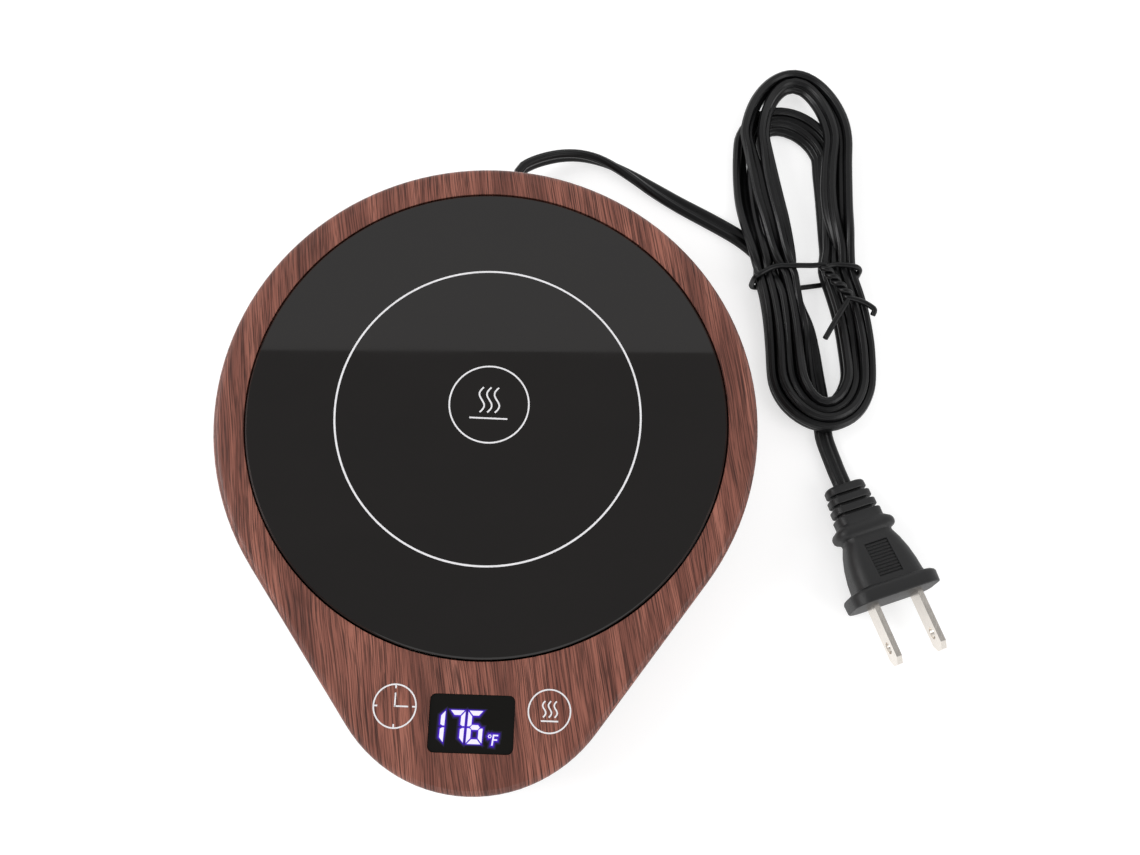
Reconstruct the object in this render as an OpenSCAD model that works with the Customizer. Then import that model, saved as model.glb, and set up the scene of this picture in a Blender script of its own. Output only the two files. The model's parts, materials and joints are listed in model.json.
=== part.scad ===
// Electric mug warmer: a round glass warming plate floating in a teardrop
// housing, with a lit display and two touch keys in the lobe, and a flat
// two-core mains cord wound into a hank. Millimetres, +Z up, feet on z = 0,
// the cord leaves at the rear (+Y) and the lobe is at the front (-Y).

/* [Body outline] */
// Width of the rim round the glass, out to the side of the body
rim_w = 8.5; // [8:0.5:12]
// Radius of the lobe that holds the display
lobe_r = 38; // [35:0.5:42]
// Distance from the glass to the front of the lobe
front_w = 32.5; // [30:0.5:36]
// Rounding of the upper outer edge
edge_round = 2; // [1:0.25:2.5]

/* [Heights] */
// How far the rubber feet stand out under the base
foot_proud = 2; // [1:0.25:4]
// Thickness of the base floor
base_floor = 2; // [1.6:0.2:2.6]
// Height of the dark band that the cap stands on
band_h = 3; // [2.8:0.2:4]
// Height of the wood-grain cap above the band
cap_h = 17.8; // [17.4:0.2:22]
// How far the glass stands above the crown of the cap
glass_proud = 0.2; // [0:0.1:0.6]

/* [Housing walls] */
// Thickness of the cap's side wall
cap_wall = 2.2; // [1.8:0.1:2.6]
// Thickness of the cap's roof
cap_roof = 2.2; // [1.8:0.1:2.6]
// How far the dark band is set in from the cap
band_inset = 0.8; // [0.4:0.1:1.2]
// Thickness of the base lip that stands inside the cap
lip_t = 1.6; // [1.2:0.1:2]
// Height of the base lip above the band
lip_h = 3; // [2:0.5:5]
// Gap between the base lip and the cap
lip_gap = 0.2; // [0.1:0.05:0.4]
// Number of slots in the floor for cooling air
vent_count = 5; // [3:1:5]

/* [Glass plate] */
// Radius of the glass plate
glass_r = 63.5; // [58:0.5:71]
// Thickness of the glass plate
glass_t = 4; // [3.6:0.1:4.4]
// Gap between the glass and the cap
glass_gap = 0.5; // [0.4:0.1:0.6]
// Width of the shallow ring round the opening
bevel_w = 4; // [3:0.5:5]
// Depth of the shallow ring at the opening
bevel_drop = 0.4; // [0.2:0.1:0.6]
// Travel of the plate when a mug is set down
press_travel = 0.8; // [0.6:0.1:1]
// Gap between the carrier's tabs and the cap's collar
stop_gap = 0.3; // [0.2:0.05:0.4]

/* [Heating stack] */
// Thickness of the silicone seal under the glass
seal_t = 0.4; // [0.3:0.1:0.6]
// Thickness of the carrier's shelf and floor
carrier_t = 1.6; // [1.4:0.1:1.8]
// How far the heating element ends inside the glass's edge
element_in = 22.5; // [21.5:0.5:26]
// Thickness of the heating element
element_t = 0.6; // [0.4:0.1:0.8]
// Thickness of the aluminium heat spreader
spreader_t = 1.5; // [1:0.1:1.8]
// Thickness of the insulation pad
insulation_t = 2; // [1.8:0.1:2.2]

/* [Plate springs and switch] */
// How far the springs stand inside the glass's edge
spring_in = 9; // [8.5:0.5:9.5]
// Mean radius of a plate spring
spring_r = 4.7; // [4.5:0.1:4.9]
// Diameter of the spring wire
spring_wire = 0.7; // [0.5:0.1:0.8]
// Turns of a plate spring
spring_turns = 5; // [4:1:7]
// Radius of the carrier's guide pins
pin_r = 1.9; // [1.6:0.1:2.2]
// Running clearance round the guide pins and the plunger
guide_clear = 0.08; // [0.05:0.01:0.1]
// Length of the micro-switch
switch_l = 12.8; // [12:0.2:14]
// Depth of the micro-switch
switch_d = 5.8; // [5:0.2:6.4]
// Height of the micro-switch
switch_h = 6.5; // [6:0.1:7]

/* [Fasteners] */
// Shank radius of the housing screws
screw_r = 1.4; // [1.2:0.1:1.5]
// Head radius of the housing screws
screw_head_r = 2.6; // [2.4:0.1:2.7]
// Radius of the cap's screw bosses
boss_r = 3.1; // [2.8:0.1:3.3]
// Shank radius of the small screws
small_screw_r = 1.1; // [0.9:0.1:1.2]
// Head radius of the small screws
small_head_r = 2; // [1.8:0.1:2.2]

/* [Display and keys] */
// Width of the display window
window_w = 21; // [19:0.5:22]
// Depth of the display window, front to back
window_d = 14; // [13:0.5:14.5]
// Corner radius of the display window
window_corner = 1.5; // [1:0.25:2.5]
// How far the window's face lies below the cap's crown
window_sunk = 0.5; // [0.3:0.1:0.8]
// Distance from the glass to the middle of the window
window_at = 15.4; // [14:0.1:17]
// Sideways distance of each touch key from the middle
key_x = 19; // [18:0.25:20]
// Distance from the glass to the touch keys
key_at = 11.8; // [11:0.1:13]

/* [Feet] */
// Radius of a rubber foot
foot_r = 5; // [4:0.25:6]
// Depth of the recess that holds a foot
foot_recess = 0.6; // [0.4:0.1:0.8]

/* [Boards] */
// Thickness of both circuit boards
board_t = 1.6; // [1.2:0.2:1.6]
// Width of the power board
power_w = 56; // [54:1:60]
// Depth of the power board, front to back
power_d = 34; // [33:1:36]
// Height of the standoffs under the power board
standoff_h = 1.2; // [1:0.1:1.4]
// Radius of the standoffs under the power board
standoff_r = 3; // [2.5:0.1:3.2]

/* [Mains cord and plug] */
// Width of the flat cord
cord_w = 5.2; // [4.8:0.1:5.6]
// Thickness of the flat cord
cord_t = 2.6; // [2.4:0.1:2.8]
// Sideways place of the cord's exit
cord_x = 4; // [3:0.5:5]
// How far the grommet's nose stands out of the cap
nose_l = 4; // [3:0.5:5]
// Distance between the plug's blades
blade_pitch = 12.7; // [12.5:0.1:12.9]
// Length of a blade
blade_l = 16.6; // [15.5:0.1:17.5]
// Height of a blade
blade_h = 6.35; // [6.1:0.05:6.6]
// Thickness of a blade
blade_t = 1.5; // [1.4:0.05:1.6]
// Width of the plug's front flange
plug_w = 25; // [24:0.5:27]
// Height of the plug's front flange
plug_h = 15.5; // [14:0.5:16]
// Length of the plug from its strain relief to its face
plug_l = 34; // [32:0.5:36]

/* [Hidden] */

fine = 96;                  // segments of a round piece in the preview
round_steps = 6;            // facets of a rounded edge or corner

// Outline of the body
body_r = glass_r + rim_w;
lobe_distance = glass_r + front_w - lobe_r;
disc_y = (lobe_distance + lobe_r - body_r) / 2;
lobe_y = disc_y - lobe_distance;
rear_y = disc_y + body_r;
tangent_a = asin((body_r - lobe_r) / lobe_distance);
tangent_l = lobe_distance * cos(tangent_a);

// Heights of the housing
z_base = foot_proud;
z_floor = z_base + base_floor;
z_seam = z_base + band_h;
z_crown = z_seam + cap_h;
z_roof = z_crown - cap_roof;
z_lip = z_seam + lip_h;

// Insets of the housing walls from the outline
lip_inset = cap_wall + lip_gap;
base_hollow_inset = lip_inset + lip_t;
base_bevel = 0.7;

// Heights and radii of the floating plate
z_glass_top = z_crown + glass_proud;
z_glass = z_glass_top - glass_t;
z_seal = z_glass - seal_t;
z_shelf = z_seal - carrier_t;
z_spreader = z_glass - spreader_t;
z_element = z_spreader - element_t;
z_insulation = z_element - insulation_t;
z_dish = z_insulation - carrier_t;
z_collar = z_glass + stop_gap;
opening_r = glass_r + glass_gap;
bevel_r = opening_r + bevel_w;
collar_r = opening_r + 3;
element_r = glass_r - element_in;
spreader_r = element_r + 2;
insulation_r = spreader_r + 1;
dish_r = insulation_r + 1.5;
dish_outer_r = dish_r + carrier_t;
shelf_r = glass_r - 1;
tab_r = opening_r + 2.3;
tab_w = 12;
stop_r = 2.5;
spring_at = glass_r - spring_in;
stop_at = spring_at;
stop_clear = 0.1;
z_stop = z_shelf - press_travel - stop_clear;
spring_angles = [30, 150, 270];
stop_angles = [48, 132, 210, 330];
rib_angles = [0, 90, 180, 238, 302];

// Screws between the base and the cap
screw_bore_r = screw_r + 0.1;
screw_head_h = 1.8;
screw_l = 10;
z_seat = z_base + 2.8;
counterbore_r = screw_head_r + 0.2;
counterbore_wall = 0.5;
base_post_r = counterbore_r + 1.2;
boss_at = body_r - band_inset - base_bevel - counterbore_wall - counterbore_r;
boss_angle = 30;
lobe_boss_at = lobe_r - 1.8;
lobe_boss_angle = -6;
boss_spots = [
    [boss_at * cos(boss_angle), disc_y + boss_at * sin(boss_angle)],
    [lobe_boss_at * cos(lobe_boss_angle), lobe_y + lobe_boss_at * sin(lobe_boss_angle)]];

// Cooling slots in the floor, in front of the switch
vent_at = 20;
vent_pitch = 6;
vent_size = [26, 2];
vent_corner = vent_size[1] / 2 - 0.01;

// Feet
rear_foot_at = body_r - 16;
rear_foot_angle = 45;
front_foot_at = lobe_r - 11;
front_foot_angle = -35;
foot_spots = [
    [rear_foot_at * cos(rear_foot_angle), disc_y + rear_foot_at * sin(rear_foot_angle)],
    [front_foot_at * cos(front_foot_angle), lobe_y + front_foot_at * sin(front_foot_angle)]];

// Weight-sensing switch, in the middle under the plate
switch_size = [switch_l, switch_d, switch_h];
z_switch = z_floor + switch_h;
plunger_r = 1.1;
plunger_up = 1.1;
plunger_in = 2;
z_plunger = z_switch + plunger_up;
switch_hole_pitch = 6.5;
switch_hole_z = z_floor + 2.2;
switch_bracket_t = 2;
post_r = 2.4;
post_gap = 0.1;
guide_tube_r = 3.5;
guide_tube_h = 5;
z_pin = z_floor + press_travel + 1.2;

// Sensor and fuse under the element, held by a clip
sensor_y = disc_y - 14;
sensor_r = (z_element - z_dish) / 2;
sensor_l = 8;
fuse_l = 11;
clip_size = [42, 7, 0.8];
clip_screw_x = clip_size[0] / 2 - 3;
sensor_window = [2 * (clip_screw_x - 3), 2 * sensor_r + 1];
z_clip = z_dish - clip_size[2];
small_head_h = 1.2;

// Heater leads, through the dish floor
lead_r = 0.9;
lead_hole_r = 1.8;
heater_lead_x = 6;
heater_lead_at = 30;
heater_lead_y = disc_y + heater_lead_at;

// Power board on the base floor, behind the switch
power_size = [power_w, power_d];
power_gap = 6.1;
power_y = disc_y + switch_size[1] / 2 + switch_bracket_t + power_gap + power_size[1] / 2;
z_power = z_floor + standoff_h;
z_power_top = z_power + board_t;
power_screw_l = standoff_h + base_floor - 0.6;
small_hole_r = small_screw_r + 0.2;
power_screw_in = 3.5;
power_screws = [for (side = [-1, 1])
    [power_size[0] / 2 - power_screw_in, power_y + side * (power_size[1] / 2 - power_screw_in)]];
board_pilot_r = small_screw_r + 0.05;
terminal_size = [15, 8, 5];
terminal_spot = [cord_x, power_y + 11];
film_size = [13, 9, 5];
film_spot = [-15, power_y + 6];
bulk_r = 2.4;
bulk_l = 11;
bulk_spot = [20, power_y - 4];
triac_body = [10, 9, 4.4];
triac_tab = [10, 6.5, 1.3];
triac_spot = [2, power_y - 10];
triac_hole_r = 1.8;
fuse_r = 2.2;
board_fuse_l = 15;
board_fuse_spot = [-13, power_y - 5];
chip_size = [5, 6, 1.6];
chip_spot = [10.5, power_y - 10];
resistor_size = [3.2, 1.8, 0.8];

// Control board in the lobe, hung under the cap's roof
window_size = [window_w, window_d];
window_y = disc_y - glass_r - window_at;
key_y = disc_y - glass_r - key_at;
window_lens_t = 1.7;
window_flange = 2;
window_flange_t = 1;
z_window_top = z_crown - window_sunk;
z_window_flange = z_window_top - window_lens_t;
z_window = z_window_flange - window_flange_t;
module_h = 2.4;
z_module = z_window - 0.2 - module_h;
z_control = z_module - board_t;
control_r = lobe_r - 4;
control_rear_y = disc_y - collar_r - 1.5;
control_front_y = lobe_y - control_r + 2;
control_boss_r = 2.4;
control_chip = [7, 5, 1.4];
control_chip_x = 2;

// Screws of the control board, on a ring inside its round edge: one pair
// beside its rear edge, and one pair beside the window
control_ring_r = control_r - 3.15;
control_screw_x = window_w / 2 + window_flange + control_boss_r + 0.2;
control_screw_y = control_rear_y - control_boss_r - 1;
control_screws = [
    [sqrt(pow(control_ring_r, 2) - pow(control_screw_y - lobe_y, 2)), control_screw_y],
    [control_screw_x, lobe_y - sqrt(pow(control_ring_r, 2) - pow(control_screw_x, 2))]];
touch_r = 3.2;
touch_wire = 0.6;
touch_turns = 3;

// Display cable, along the floor from board to board
cable_x = -15;
cable_w = 8;
cable_t = 0.8;
cable_front_y = control_rear_y - 4;
cable_rear_y = power_y - power_size[1] / 2 + 5;

// Cord grommet and clamp
cord_z = z_floor + cord_w / 2 + 1.4;
nose_tip = [cord_t + 1.6, cord_w + 1.6];
nose_root = [cord_t + 4.4, cord_w + 3.4];
grommet_neck = [cord_t + 2.8, cord_w + 2.4];
grommet_corner = 1.5;
sleeve_l = 12;
flange_t = 1.8;
flange_out = 2;
slot_clear = 0.15;
neck_half = [grommet_neck[0] / 2, grommet_neck[1] / 2];
slot_half_w = neck_half[0] + slot_clear;
z_neck = cord_z - neck_half[1];
z_neck_top = cord_z + neck_half[1];
y_flange = rear_y - base_hollow_inset - flange_t - 1;
y_sleeve = y_flange - sleeve_l;
clamp_y = y_flange - 4.5;
clamp_x = neck_half[0] + 4.4;
clamp_size = [2 * clamp_x + 5, 4.5, 1.6];
clamp_post_r = 2.3;
mains_wire_r = 0.8;
mains_pitch = 2.4;
terminal_in = 3;
z_terminal = z_power_top + 2.2;

// The cord's route where it lies free: x, y, z, and the roll of its width
// from lying flat (0) to standing on edge (90)
exit_y = rear_y + nose_l;
lead_route = [
    [4, 88.3, 8, 90], [4.2, 90.3, 7.9, 90], [5.5, 92.6, 7.5, 90],
    [8.2, 94.8, 6.8, 90], [12.2, 97, 5.9, 90], [17, 98.8, 4.9, 88],
    [22.4, 99.6, 4, 84], [28, 99, 3.2, 76], [33.6, 96.9, 2.8, 60],
    [39.2, 94, 2.4, 42], [44.8, 90.8, 1.9, 24], [52.9, 86.3, 1.5, 8],
    [61.2, 82, 1.4, 0], [66.6, 79.1, 1.4, 0], [71.5, 76.2, 1.4, 0]];
tail_route = [
    [95.4, 15.5, 1.4, 0], [96.2, 12.6, 1.4, 0], [97.4, 8.8, 1.8, 0],
    [98.5, 5, 2.5, 0], [99.3, 2.5, 3.1, 0], [99.7, 1.3, 3.3, 0]];

// Hank: a front bend, a waist under the tie, and two loops behind it, of
// which the longer lies on the shorter; each bend is an egg shape between two
// drums, each [x, y], then its radius
hank_front = [94.7, 36];
hank_front_r = 15.9;
hank_front_tip = [94.7, 28.5];
hank_front_tip_r = 12.4;
hank_waist = [90.15, 64];
hank_waist_size = [28.9, 4];
hank_short = [85.2, 104.7];
hank_short_r = 15.8;
hank_long = [88.4, 112];
hank_long_r = 16.8;
hank_long_tip = [88.4, 120.5];
hank_long_tip_r = 12;
hank_low_h = 6.9;
hank_top_h = 9.4;
hank_top_from = [90.7, 88];
hank_hole = [[96.4, 29.5, 2.4], [91.8, 62, 3.2], [88.4, 100, 6.4]];

// Twist tie: one wire round the waist, both its ends twisted together on top
tie_wire = 1.6;
tie_gap = 0.3;
tie_notch = [62.3, 6.8];
tie_loop = [
    [91.4, 65.5, 8.2, 0], [86, 65.3, 8.1, 0], [82, 65, 8.1, 0],
    [79.4, 64.2, 8.1, 0], [77.4, 63, 8.2, 0], [75.9, 62.1, 8.1, 0],
    [75, 61.6, 7.6, 0], [74.7, 61.3, 6.4, 0], [74.7, 61.1, 3.2, 0],
    [74.8, 61, 1.9, 0], [75.3, 60.9, 1.1, 0], [76.4, 60.9, 0.8, 0],
    [82, 61, 0.8, 0], [88, 61.2, 0.8, 0], [94, 62.2, 0.8, 0],
    [100, 63.4, 0.8, 0], [104.8, 64.2, 0.8, 0], [105.7, 64.3, 1.2, 0],
    [106.05, 64.4, 2.4, 0], [106, 64.8, 5.6, 0], [105.9, 65.1, 7.1, 0],
    [105.3, 65.5, 7.9, 0], [104, 65.9, 8.2, 0], [100, 66.2, 8.2, 0],
    [97.4, 65.9, 8.2, 0]];
tie_twist_from = [94.8, 65, 8.8];
tie_twist_to = [101.8, 56.4, 8.8];
tie_twist_turns = 2;
tie_ends = [
    [[100.4, 53, 8.6, 0], [97.6, 48.2, 8.4, 0], [94.7, 43, 8.2, 0]],
    [[104.8, 55, 8.8, 0], [107.4, 53.9, 8.7, 0], [109.4, 52.4, 8.4, 0], [108.9, 50.9, 8, 0]]];

// Plug, lying on its strain relief and its front flange
plug_at = [99.9, 0.9];
plug_heading = 200;
relief_size = [11.5, 6.8];
front_flange_t = 4;
plug_face = [plug_w, plug_h];
plug_pitch = atan2((plug_h - relief_size[1]) / 2, plug_l - front_flange_t);
plug_z = relief_size[1] / 2 * cos(plug_pitch);
relief_l = 12;
relief_end = [13.2, 8.4];
slot_count = 3;
slot_from = 2.45;
slot_w = 0.9;
slot_pitch = 2.85;
rear_flange = [17.5, 10.2];
rear_flange_t = 3.5;
body_rear = [14.2, 9.6];
body_middle = [18.8, 12.2];
body_middle_in = 9;
body_front = [19.6, 13.6];
body_front_in = 2;
blade_in = 6;
blade_bevel = 1.8;
blade_hole_in = 4.8;
blade_hole_r = 1.6;

// ---- helpers ----

// Mirrored pair of children about the middle plane
module both_sides() {
    children();
    mirror([1, 0, 0]) children();
}

// One copy of the children at each spot, and one at its mirror image
module at_pairs(spots) {
    for (spot = spots)
        both_sides() translate([spot[0], spot[1], 0]) children();
}

// One copy of the children at each angle round the plate's centre
module round_plate(angles, distance) {
    for (angle = angles)
        translate([0, disc_y, 0]) rotate([0, 0, angle]) translate([distance, 0, 0]) children();
}

// Solid of the body outline whose side follows edge, a list of [inset, z]:
// a sector of the round end, one of the lobe, and a block along each flank
module outline_solid(edge) {
    low = edge[0][1];
    high = edge[len(edge) - 1][1];
    translate([0, disc_y, 0]) rotate([0, 0, -tangent_a])
        rotate_extrude(angle = 180 + 2 * tangent_a, $fn = 2 * fine)
            polygon(concat([[0, low]], [for (p = edge) [body_r - p[0], p[1]]], [[0, high]]));
    translate([0, lobe_y, 0]) rotate([0, 0, 180 + tangent_a])
        rotate_extrude(angle = 180 - 2 * tangent_a, $fn = 2 * fine)
            polygon(concat([[0, low]], [for (p = edge) [lobe_r - p[0], p[1]]], [[0, high]]));
    both_sides() translate([0, disc_y, 0]) rotate([90, 0, -tangent_a]) linear_extrude(tangent_l)
        polygon(concat([[0, low]], [for (p = edge) [body_r - p[0], p[1]]], [[0, high]]));
}

// Straight-sided solid of the body outline, set in and between two heights
module outline_block(inset, low, high) {
    outline_solid([[inset, low], [inset, high]]);
}

// Corner points of a rounded rectangle
function rounded_points(size, corner) = [
    for (quarter = [0:3], step = [0:round_steps])
        let (a = 90 * quarter + 90 * step / round_steps,
             sx = (quarter == 0 || quarter == 3) ? 1 : -1,
             sy = quarter < 2 ? 1 : -1)
        [sx * (size[0] / 2 - corner) + corner * cos(a),
         sy * (size[1] / 2 - corner) + corner * sin(a)]];

// Rounded rectangle, lying flat and h high
module rounded_block(size, corner, h) {
    linear_extrude(h) polygon(rounded_points(size, corner));
}

// Rounded rectangle facing along +Y, with l its length that way
module rounded_bar(size, corner, l) {
    rotate([-90, 0, 0]) linear_extrude(l) polygon(rounded_points(size, corner));
}

// Screw with its head below: the shank points up from z = 0
module screw_up(shank_r, head_r, head_h, l) {
    translate([0, 0, -head_h]) cylinder(r = head_r, h = head_h, $fn = fine);
    cylinder(r = shank_r, h = l, $fn = fine);
}

// Screw with its head above: the shank points down from z = 0
module screw_down(shank_r, head_r, head_h, l) {
    mirror([0, 0, 1]) screw_up(shank_r, head_r, head_h, l);
}

function unit(v) = v / norm(v);
function place_of(p) = [p[0], p[1], p[2]];

// Direction of a route at its point i
function heading(route, i) =
    let (a = place_of(route[max(i - 1, 0)]), b = place_of(route[min(i + 1, len(route) - 1)]))
    unit(b - a);

// One ring of a swept tube: an oval w wide and t thick, rolled about the route
function ring(route, i, w, t, sides) =
    let (d = heading(route, i), side = unit(cross(d, [0, 0, 1])), up = cross(side, d),
         roll = route[i][3],
         wide = side * cos(roll) + up * sin(roll), thin = up * cos(roll) - side * sin(roll))
    [for (k = [0:sides - 1])
        place_of(route[i]) + wide * w / 2 * cos(360 * k / sides) + thin * t / 2 * sin(360 * k / sides)];

// Tube swept along a route of [x, y, z, roll] points
module swept_tube(route, w, t, sides) {
    n = len(route);
    points = [for (i = [0:n - 1]) each ring(route, i, w, t, sides)];
    walls = [for (i = [0:n - 2], k = [0:sides - 1])
        let (a = i * sides + k, b = i * sides + (k + 1) % sides)
        each [[a, b, b + sides], [a, b + sides, a + sides]]];
    first = [[for (k = [sides - 1:-1:0]) k]];
    last = [[for (k = [0:sides - 1]) (n - 1) * sides + k]];
    polyhedron(points, concat(walls, first, last), convexity = 6);
}

// Coil spring standing on z = low, between two faces
module coil_spring(mean_r, wire, turns, low, high) {
    steps = 14;
    count = turns * steps;
    rise = high - low - wire - 0.04;
    route = [for (i = [0:count])
        let (a = 360 * i / steps, z = low + wire / 2 + 0.02 + rise * i / count)
        [mean_r * cos(a), mean_r * sin(a), z, 0]];
    swept_tube(route, wire, wire, 6);
}

// ---- housing ----

// Rounded corner of the cap's outline, from the side wall to the crown
cap_edge = concat([[0, z_seam]],
    [for (i = [0:round_steps]) let (a = 90 * i / round_steps)
        [edge_round * (1 - cos(a)), z_crown - edge_round * (1 - sin(a))]]);

// Slot for the grommet through the rear wall, open at its lower end
module grommet_slot(low) {
    depth = base_hollow_inset + 2;
    translate([cord_x, rear_y - depth, cord_z])
        rounded_bar([2 * slot_half_w, 2 * (neck_half[1] + slot_clear)], grommet_corner, depth + 1);
    translate([cord_x - slot_half_w, rear_y - depth, low])
        cube([2 * slot_half_w, depth + 1, cord_z - low]);
}

// Space inside the cap: what is left standing in it joins the roof
module cap_hollow() difference() {
    outline_block(cap_wall, z_seam - 1, z_roof);
    translate([0, disc_y, z_collar]) cylinder(r = collar_r, h = cap_h, $fn = fine);
    at_pairs(boss_spots) translate([0, 0, z_lip]) cylinder(r = boss_r, h = cap_h, $fn = fine);
    at_pairs(control_screws) translate([0, 0, z_module])
        cylinder(r = control_boss_r, h = cap_h, $fn = fine);
}

module top_housing() color([0.5, 0.31, 0.26]) difference() {
    outline_solid(cap_edge);
    cap_hollow();
    translate([0, disc_y, 0]) {
        translate([0, 0, z_seam - 1]) cylinder(r = opening_r, h = cap_h + 2, $fn = fine);
        rotate_extrude($fn = fine) polygon([[opening_r - 1, z_crown - bevel_drop],
            [opening_r, z_crown - bevel_drop], [bevel_r, z_crown], [bevel_r, z_crown + 1],
            [opening_r - 1, z_crown + 1]]);
    }
    translate([0, window_y, z_roof - 1]) rounded_block(window_size, window_corner, cap_roof + 2);
    at_pairs(boss_spots) translate([0, 0, z_lip - 1])
        cylinder(r = screw_bore_r, h = z_seat + screw_l - z_lip + 2, $fn = fine);
    at_pairs(control_screws) translate([0, 0, z_module - 1])
        cylinder(r = board_pilot_r, h = z_roof - z_module + 0.6, $fn = fine);
    grommet_slot(z_seam - 1);
}

// Space inside the base: what is left standing in it joins the floor
module base_hollow() difference() {
    outline_block(base_hollow_inset, z_floor, z_lip + 1);
    at_pairs(boss_spots) translate([0, 0, z_floor - 1])
        cylinder(r = base_post_r, h = z_lip + 3, $fn = fine);
}

module bottom_housing() color([0.09, 0.085, 0.085]) difference() {
    union() {
        difference() {
            union() {
                outline_solid([[band_inset + base_bevel, z_base], [band_inset, z_base + base_bevel],
                    [band_inset, z_seam]]);
                outline_block(lip_inset, z_seam - 1, z_lip);
            }
            base_hollow();
        }
        round_plate(spring_angles, spring_at) translate([0, 0, z_floor - 1])
            cylinder(r = guide_tube_r, h = guide_tube_h + 1, $fn = fine);
        round_plate(stop_angles, stop_at) translate([0, 0, z_floor - 1])
            cylinder(r = stop_r, h = z_stop - z_floor + 1, $fn = fine);
        at_pairs(power_screws) translate([0, 0, z_floor - 1])
            cylinder(r = standoff_r, h = standoff_h + 1, $fn = fine);
        translate([-switch_size[0] / 2, disc_y + switch_size[1] / 2, z_floor - 1])
            cube([switch_size[0], switch_bracket_t, switch_size[2]]);
        translate([cord_x, clamp_y, 0]) for (side = [-1, 1])
            translate([side * clamp_x, 0, z_floor - 1])
                cylinder(r = clamp_post_r, h = z_neck_top - z_floor + 1, $fn = fine);
        translate([cord_x - neck_half[0], clamp_y - clamp_size[1] / 2, z_floor - 1])
            cube([2 * neck_half[0], clamp_size[1], z_neck - z_floor + 1]);
    }
    at_pairs(boss_spots) {
        translate([0, 0, z_base - 1]) cylinder(r = counterbore_r, h = z_seat - z_base + 1, $fn = fine);
        cylinder(r = screw_bore_r, h = z_lip + 1, $fn = fine);
    }
    round_plate(spring_angles, spring_at) translate([0, 0, z_floor])
        cylinder(r = pin_r + guide_clear, h = guide_tube_h + 1, $fn = fine);
    at_pairs(foot_spots) translate([0, 0, z_base - 1])
        cylinder(r = foot_r + 0.1, h = foot_recess + 1, $fn = fine);
    at_pairs(power_screws) translate([0, 0, z_power - power_screw_l])
        cylinder(r = board_pilot_r, h = z_power, $fn = fine);
    for (side = [-1, 1]) {
        translate([side * switch_hole_pitch / 2, disc_y, switch_hole_z]) rotate([-90, 0, 0])
            cylinder(r = board_pilot_r, h = switch_size[1], $fn = fine);
        translate([cord_x + side * clamp_x, clamp_y, z_floor])
            cylinder(r = board_pilot_r, h = z_neck_top, $fn = fine);
    }
    for (i = [0:vent_count - 1])
        translate([0, disc_y - vent_at - vent_pitch * i, z_base - 1])
            rounded_block(vent_size, vent_corner, base_floor + 2);
    grommet_slot(z_neck - slot_clear);
}

module rubber_feet() color([0.06, 0.06, 0.06]) at_pairs(foot_spots) rotate_extrude($fn = fine)
    polygon([[0, 0], [foot_r - 0.8, 0], [foot_r, 0.8], [foot_r, z_base + foot_recess],
        [0, z_base + foot_recess]]);

module housing_screws() color([0.66, 0.66, 0.68]) at_pairs(boss_spots)
    translate([0, 0, z_seat]) difference() {
        screw_up(screw_r, screw_head_r, screw_head_h, screw_l);
        for (turn = [0, 90]) rotate([0, 0, turn]) translate([0, 0, -screw_head_h])
            cube([1.2 * screw_head_r, 0.7, screw_head_h], center = true);
    }

// ---- display and keys ----

module display_window() color([0.05, 0.045, 0.045]) translate([0, window_y, 0]) {
    gap = 0.1;
    lens = [window_size[0] - 2 * gap, window_size[1] - 2 * gap];
    flange = [window_size[0] + 2 * window_flange, window_size[1] + 2 * window_flange];
    translate([0, 0, z_window_flange - 0.5]) rounded_block(lens, window_corner - gap, window_lens_t + 0.5);
    translate([0, 0, z_window]) rounded_block(flange, window_corner + gap, z_window_flange - z_window);
}

module display_module() color([0.85, 0.85, 0.82]) translate([0, window_y, z_module]) difference() {
    rounded_block([window_size[0] + 1, window_size[1] + 1], 1, module_h);
    translate([0, 0, module_h - 0.4]) rounded_block([window_size[0] - 2, window_size[1] - 2], 0.8, 1);
}

module control_board() color([0.05, 0.3, 0.16]) {
    difference() {
        intersection() {
            translate([0, lobe_y, z_control]) cylinder(r = control_r, h = board_t, $fn = fine);
            translate([-control_r, control_front_y, z_control])
                cube([2 * control_r, control_rear_y - control_front_y, board_t]);
        }
        at_pairs(control_screws) translate([0, 0, z_control - 1])
            cylinder(r = small_hole_r, h = board_t + 2, $fn = fine);
    }
    // controller chip on the underside
    translate([control_chip_x, key_y - control_chip[1], z_control - control_chip[2]])
        cube(control_chip);
}

module control_board_screws() color([0.66, 0.66, 0.68]) at_pairs(control_screws)
    translate([0, 0, z_control])
        screw_up(small_screw_r, small_head_r, small_head_h, z_roof - z_control - 1);

module touch_springs() color([0.75, 0.7, 0.55]) at_pairs([[key_x, key_y]])
    coil_spring(touch_r, touch_wire, touch_turns, z_module, z_roof);

// Flat cable: down from the control board, along the floor, up to the power board
module display_cable() color([0.8, 0.8, 0.78]) {
    z_run = z_floor + 0.3;
    translate([cable_x - cable_w / 2, cable_front_y, z_run])
        cube([cable_w, cable_t, z_control - z_run]);
    translate([cable_x - cable_w / 2, cable_front_y, z_run])
        cube([cable_w, cable_rear_y - cable_front_y, cable_t / 2]);
}

// ---- power board ----

module power_board() color([0.72, 0.55, 0.3]) {
    difference() {
        translate([-power_size[0] / 2, power_y - power_size[1] / 2, z_power])
            cube([power_size[0], power_size[1], board_t]);
        at_pairs(power_screws) translate([0, 0, z_power - 1])
            cylinder(r = small_hole_r, h = board_t + 2, $fn = fine);
    }
    // supply chip, and two resistors behind it
    translate([chip_spot[0], chip_spot[1], z_power_top]) cube(chip_size);
    for (i = [1, 2])
        translate([chip_spot[0], chip_spot[1] + chip_size[1] + 2 * i * resistor_size[1], z_power_top])
            cube(resistor_size);
}

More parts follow.
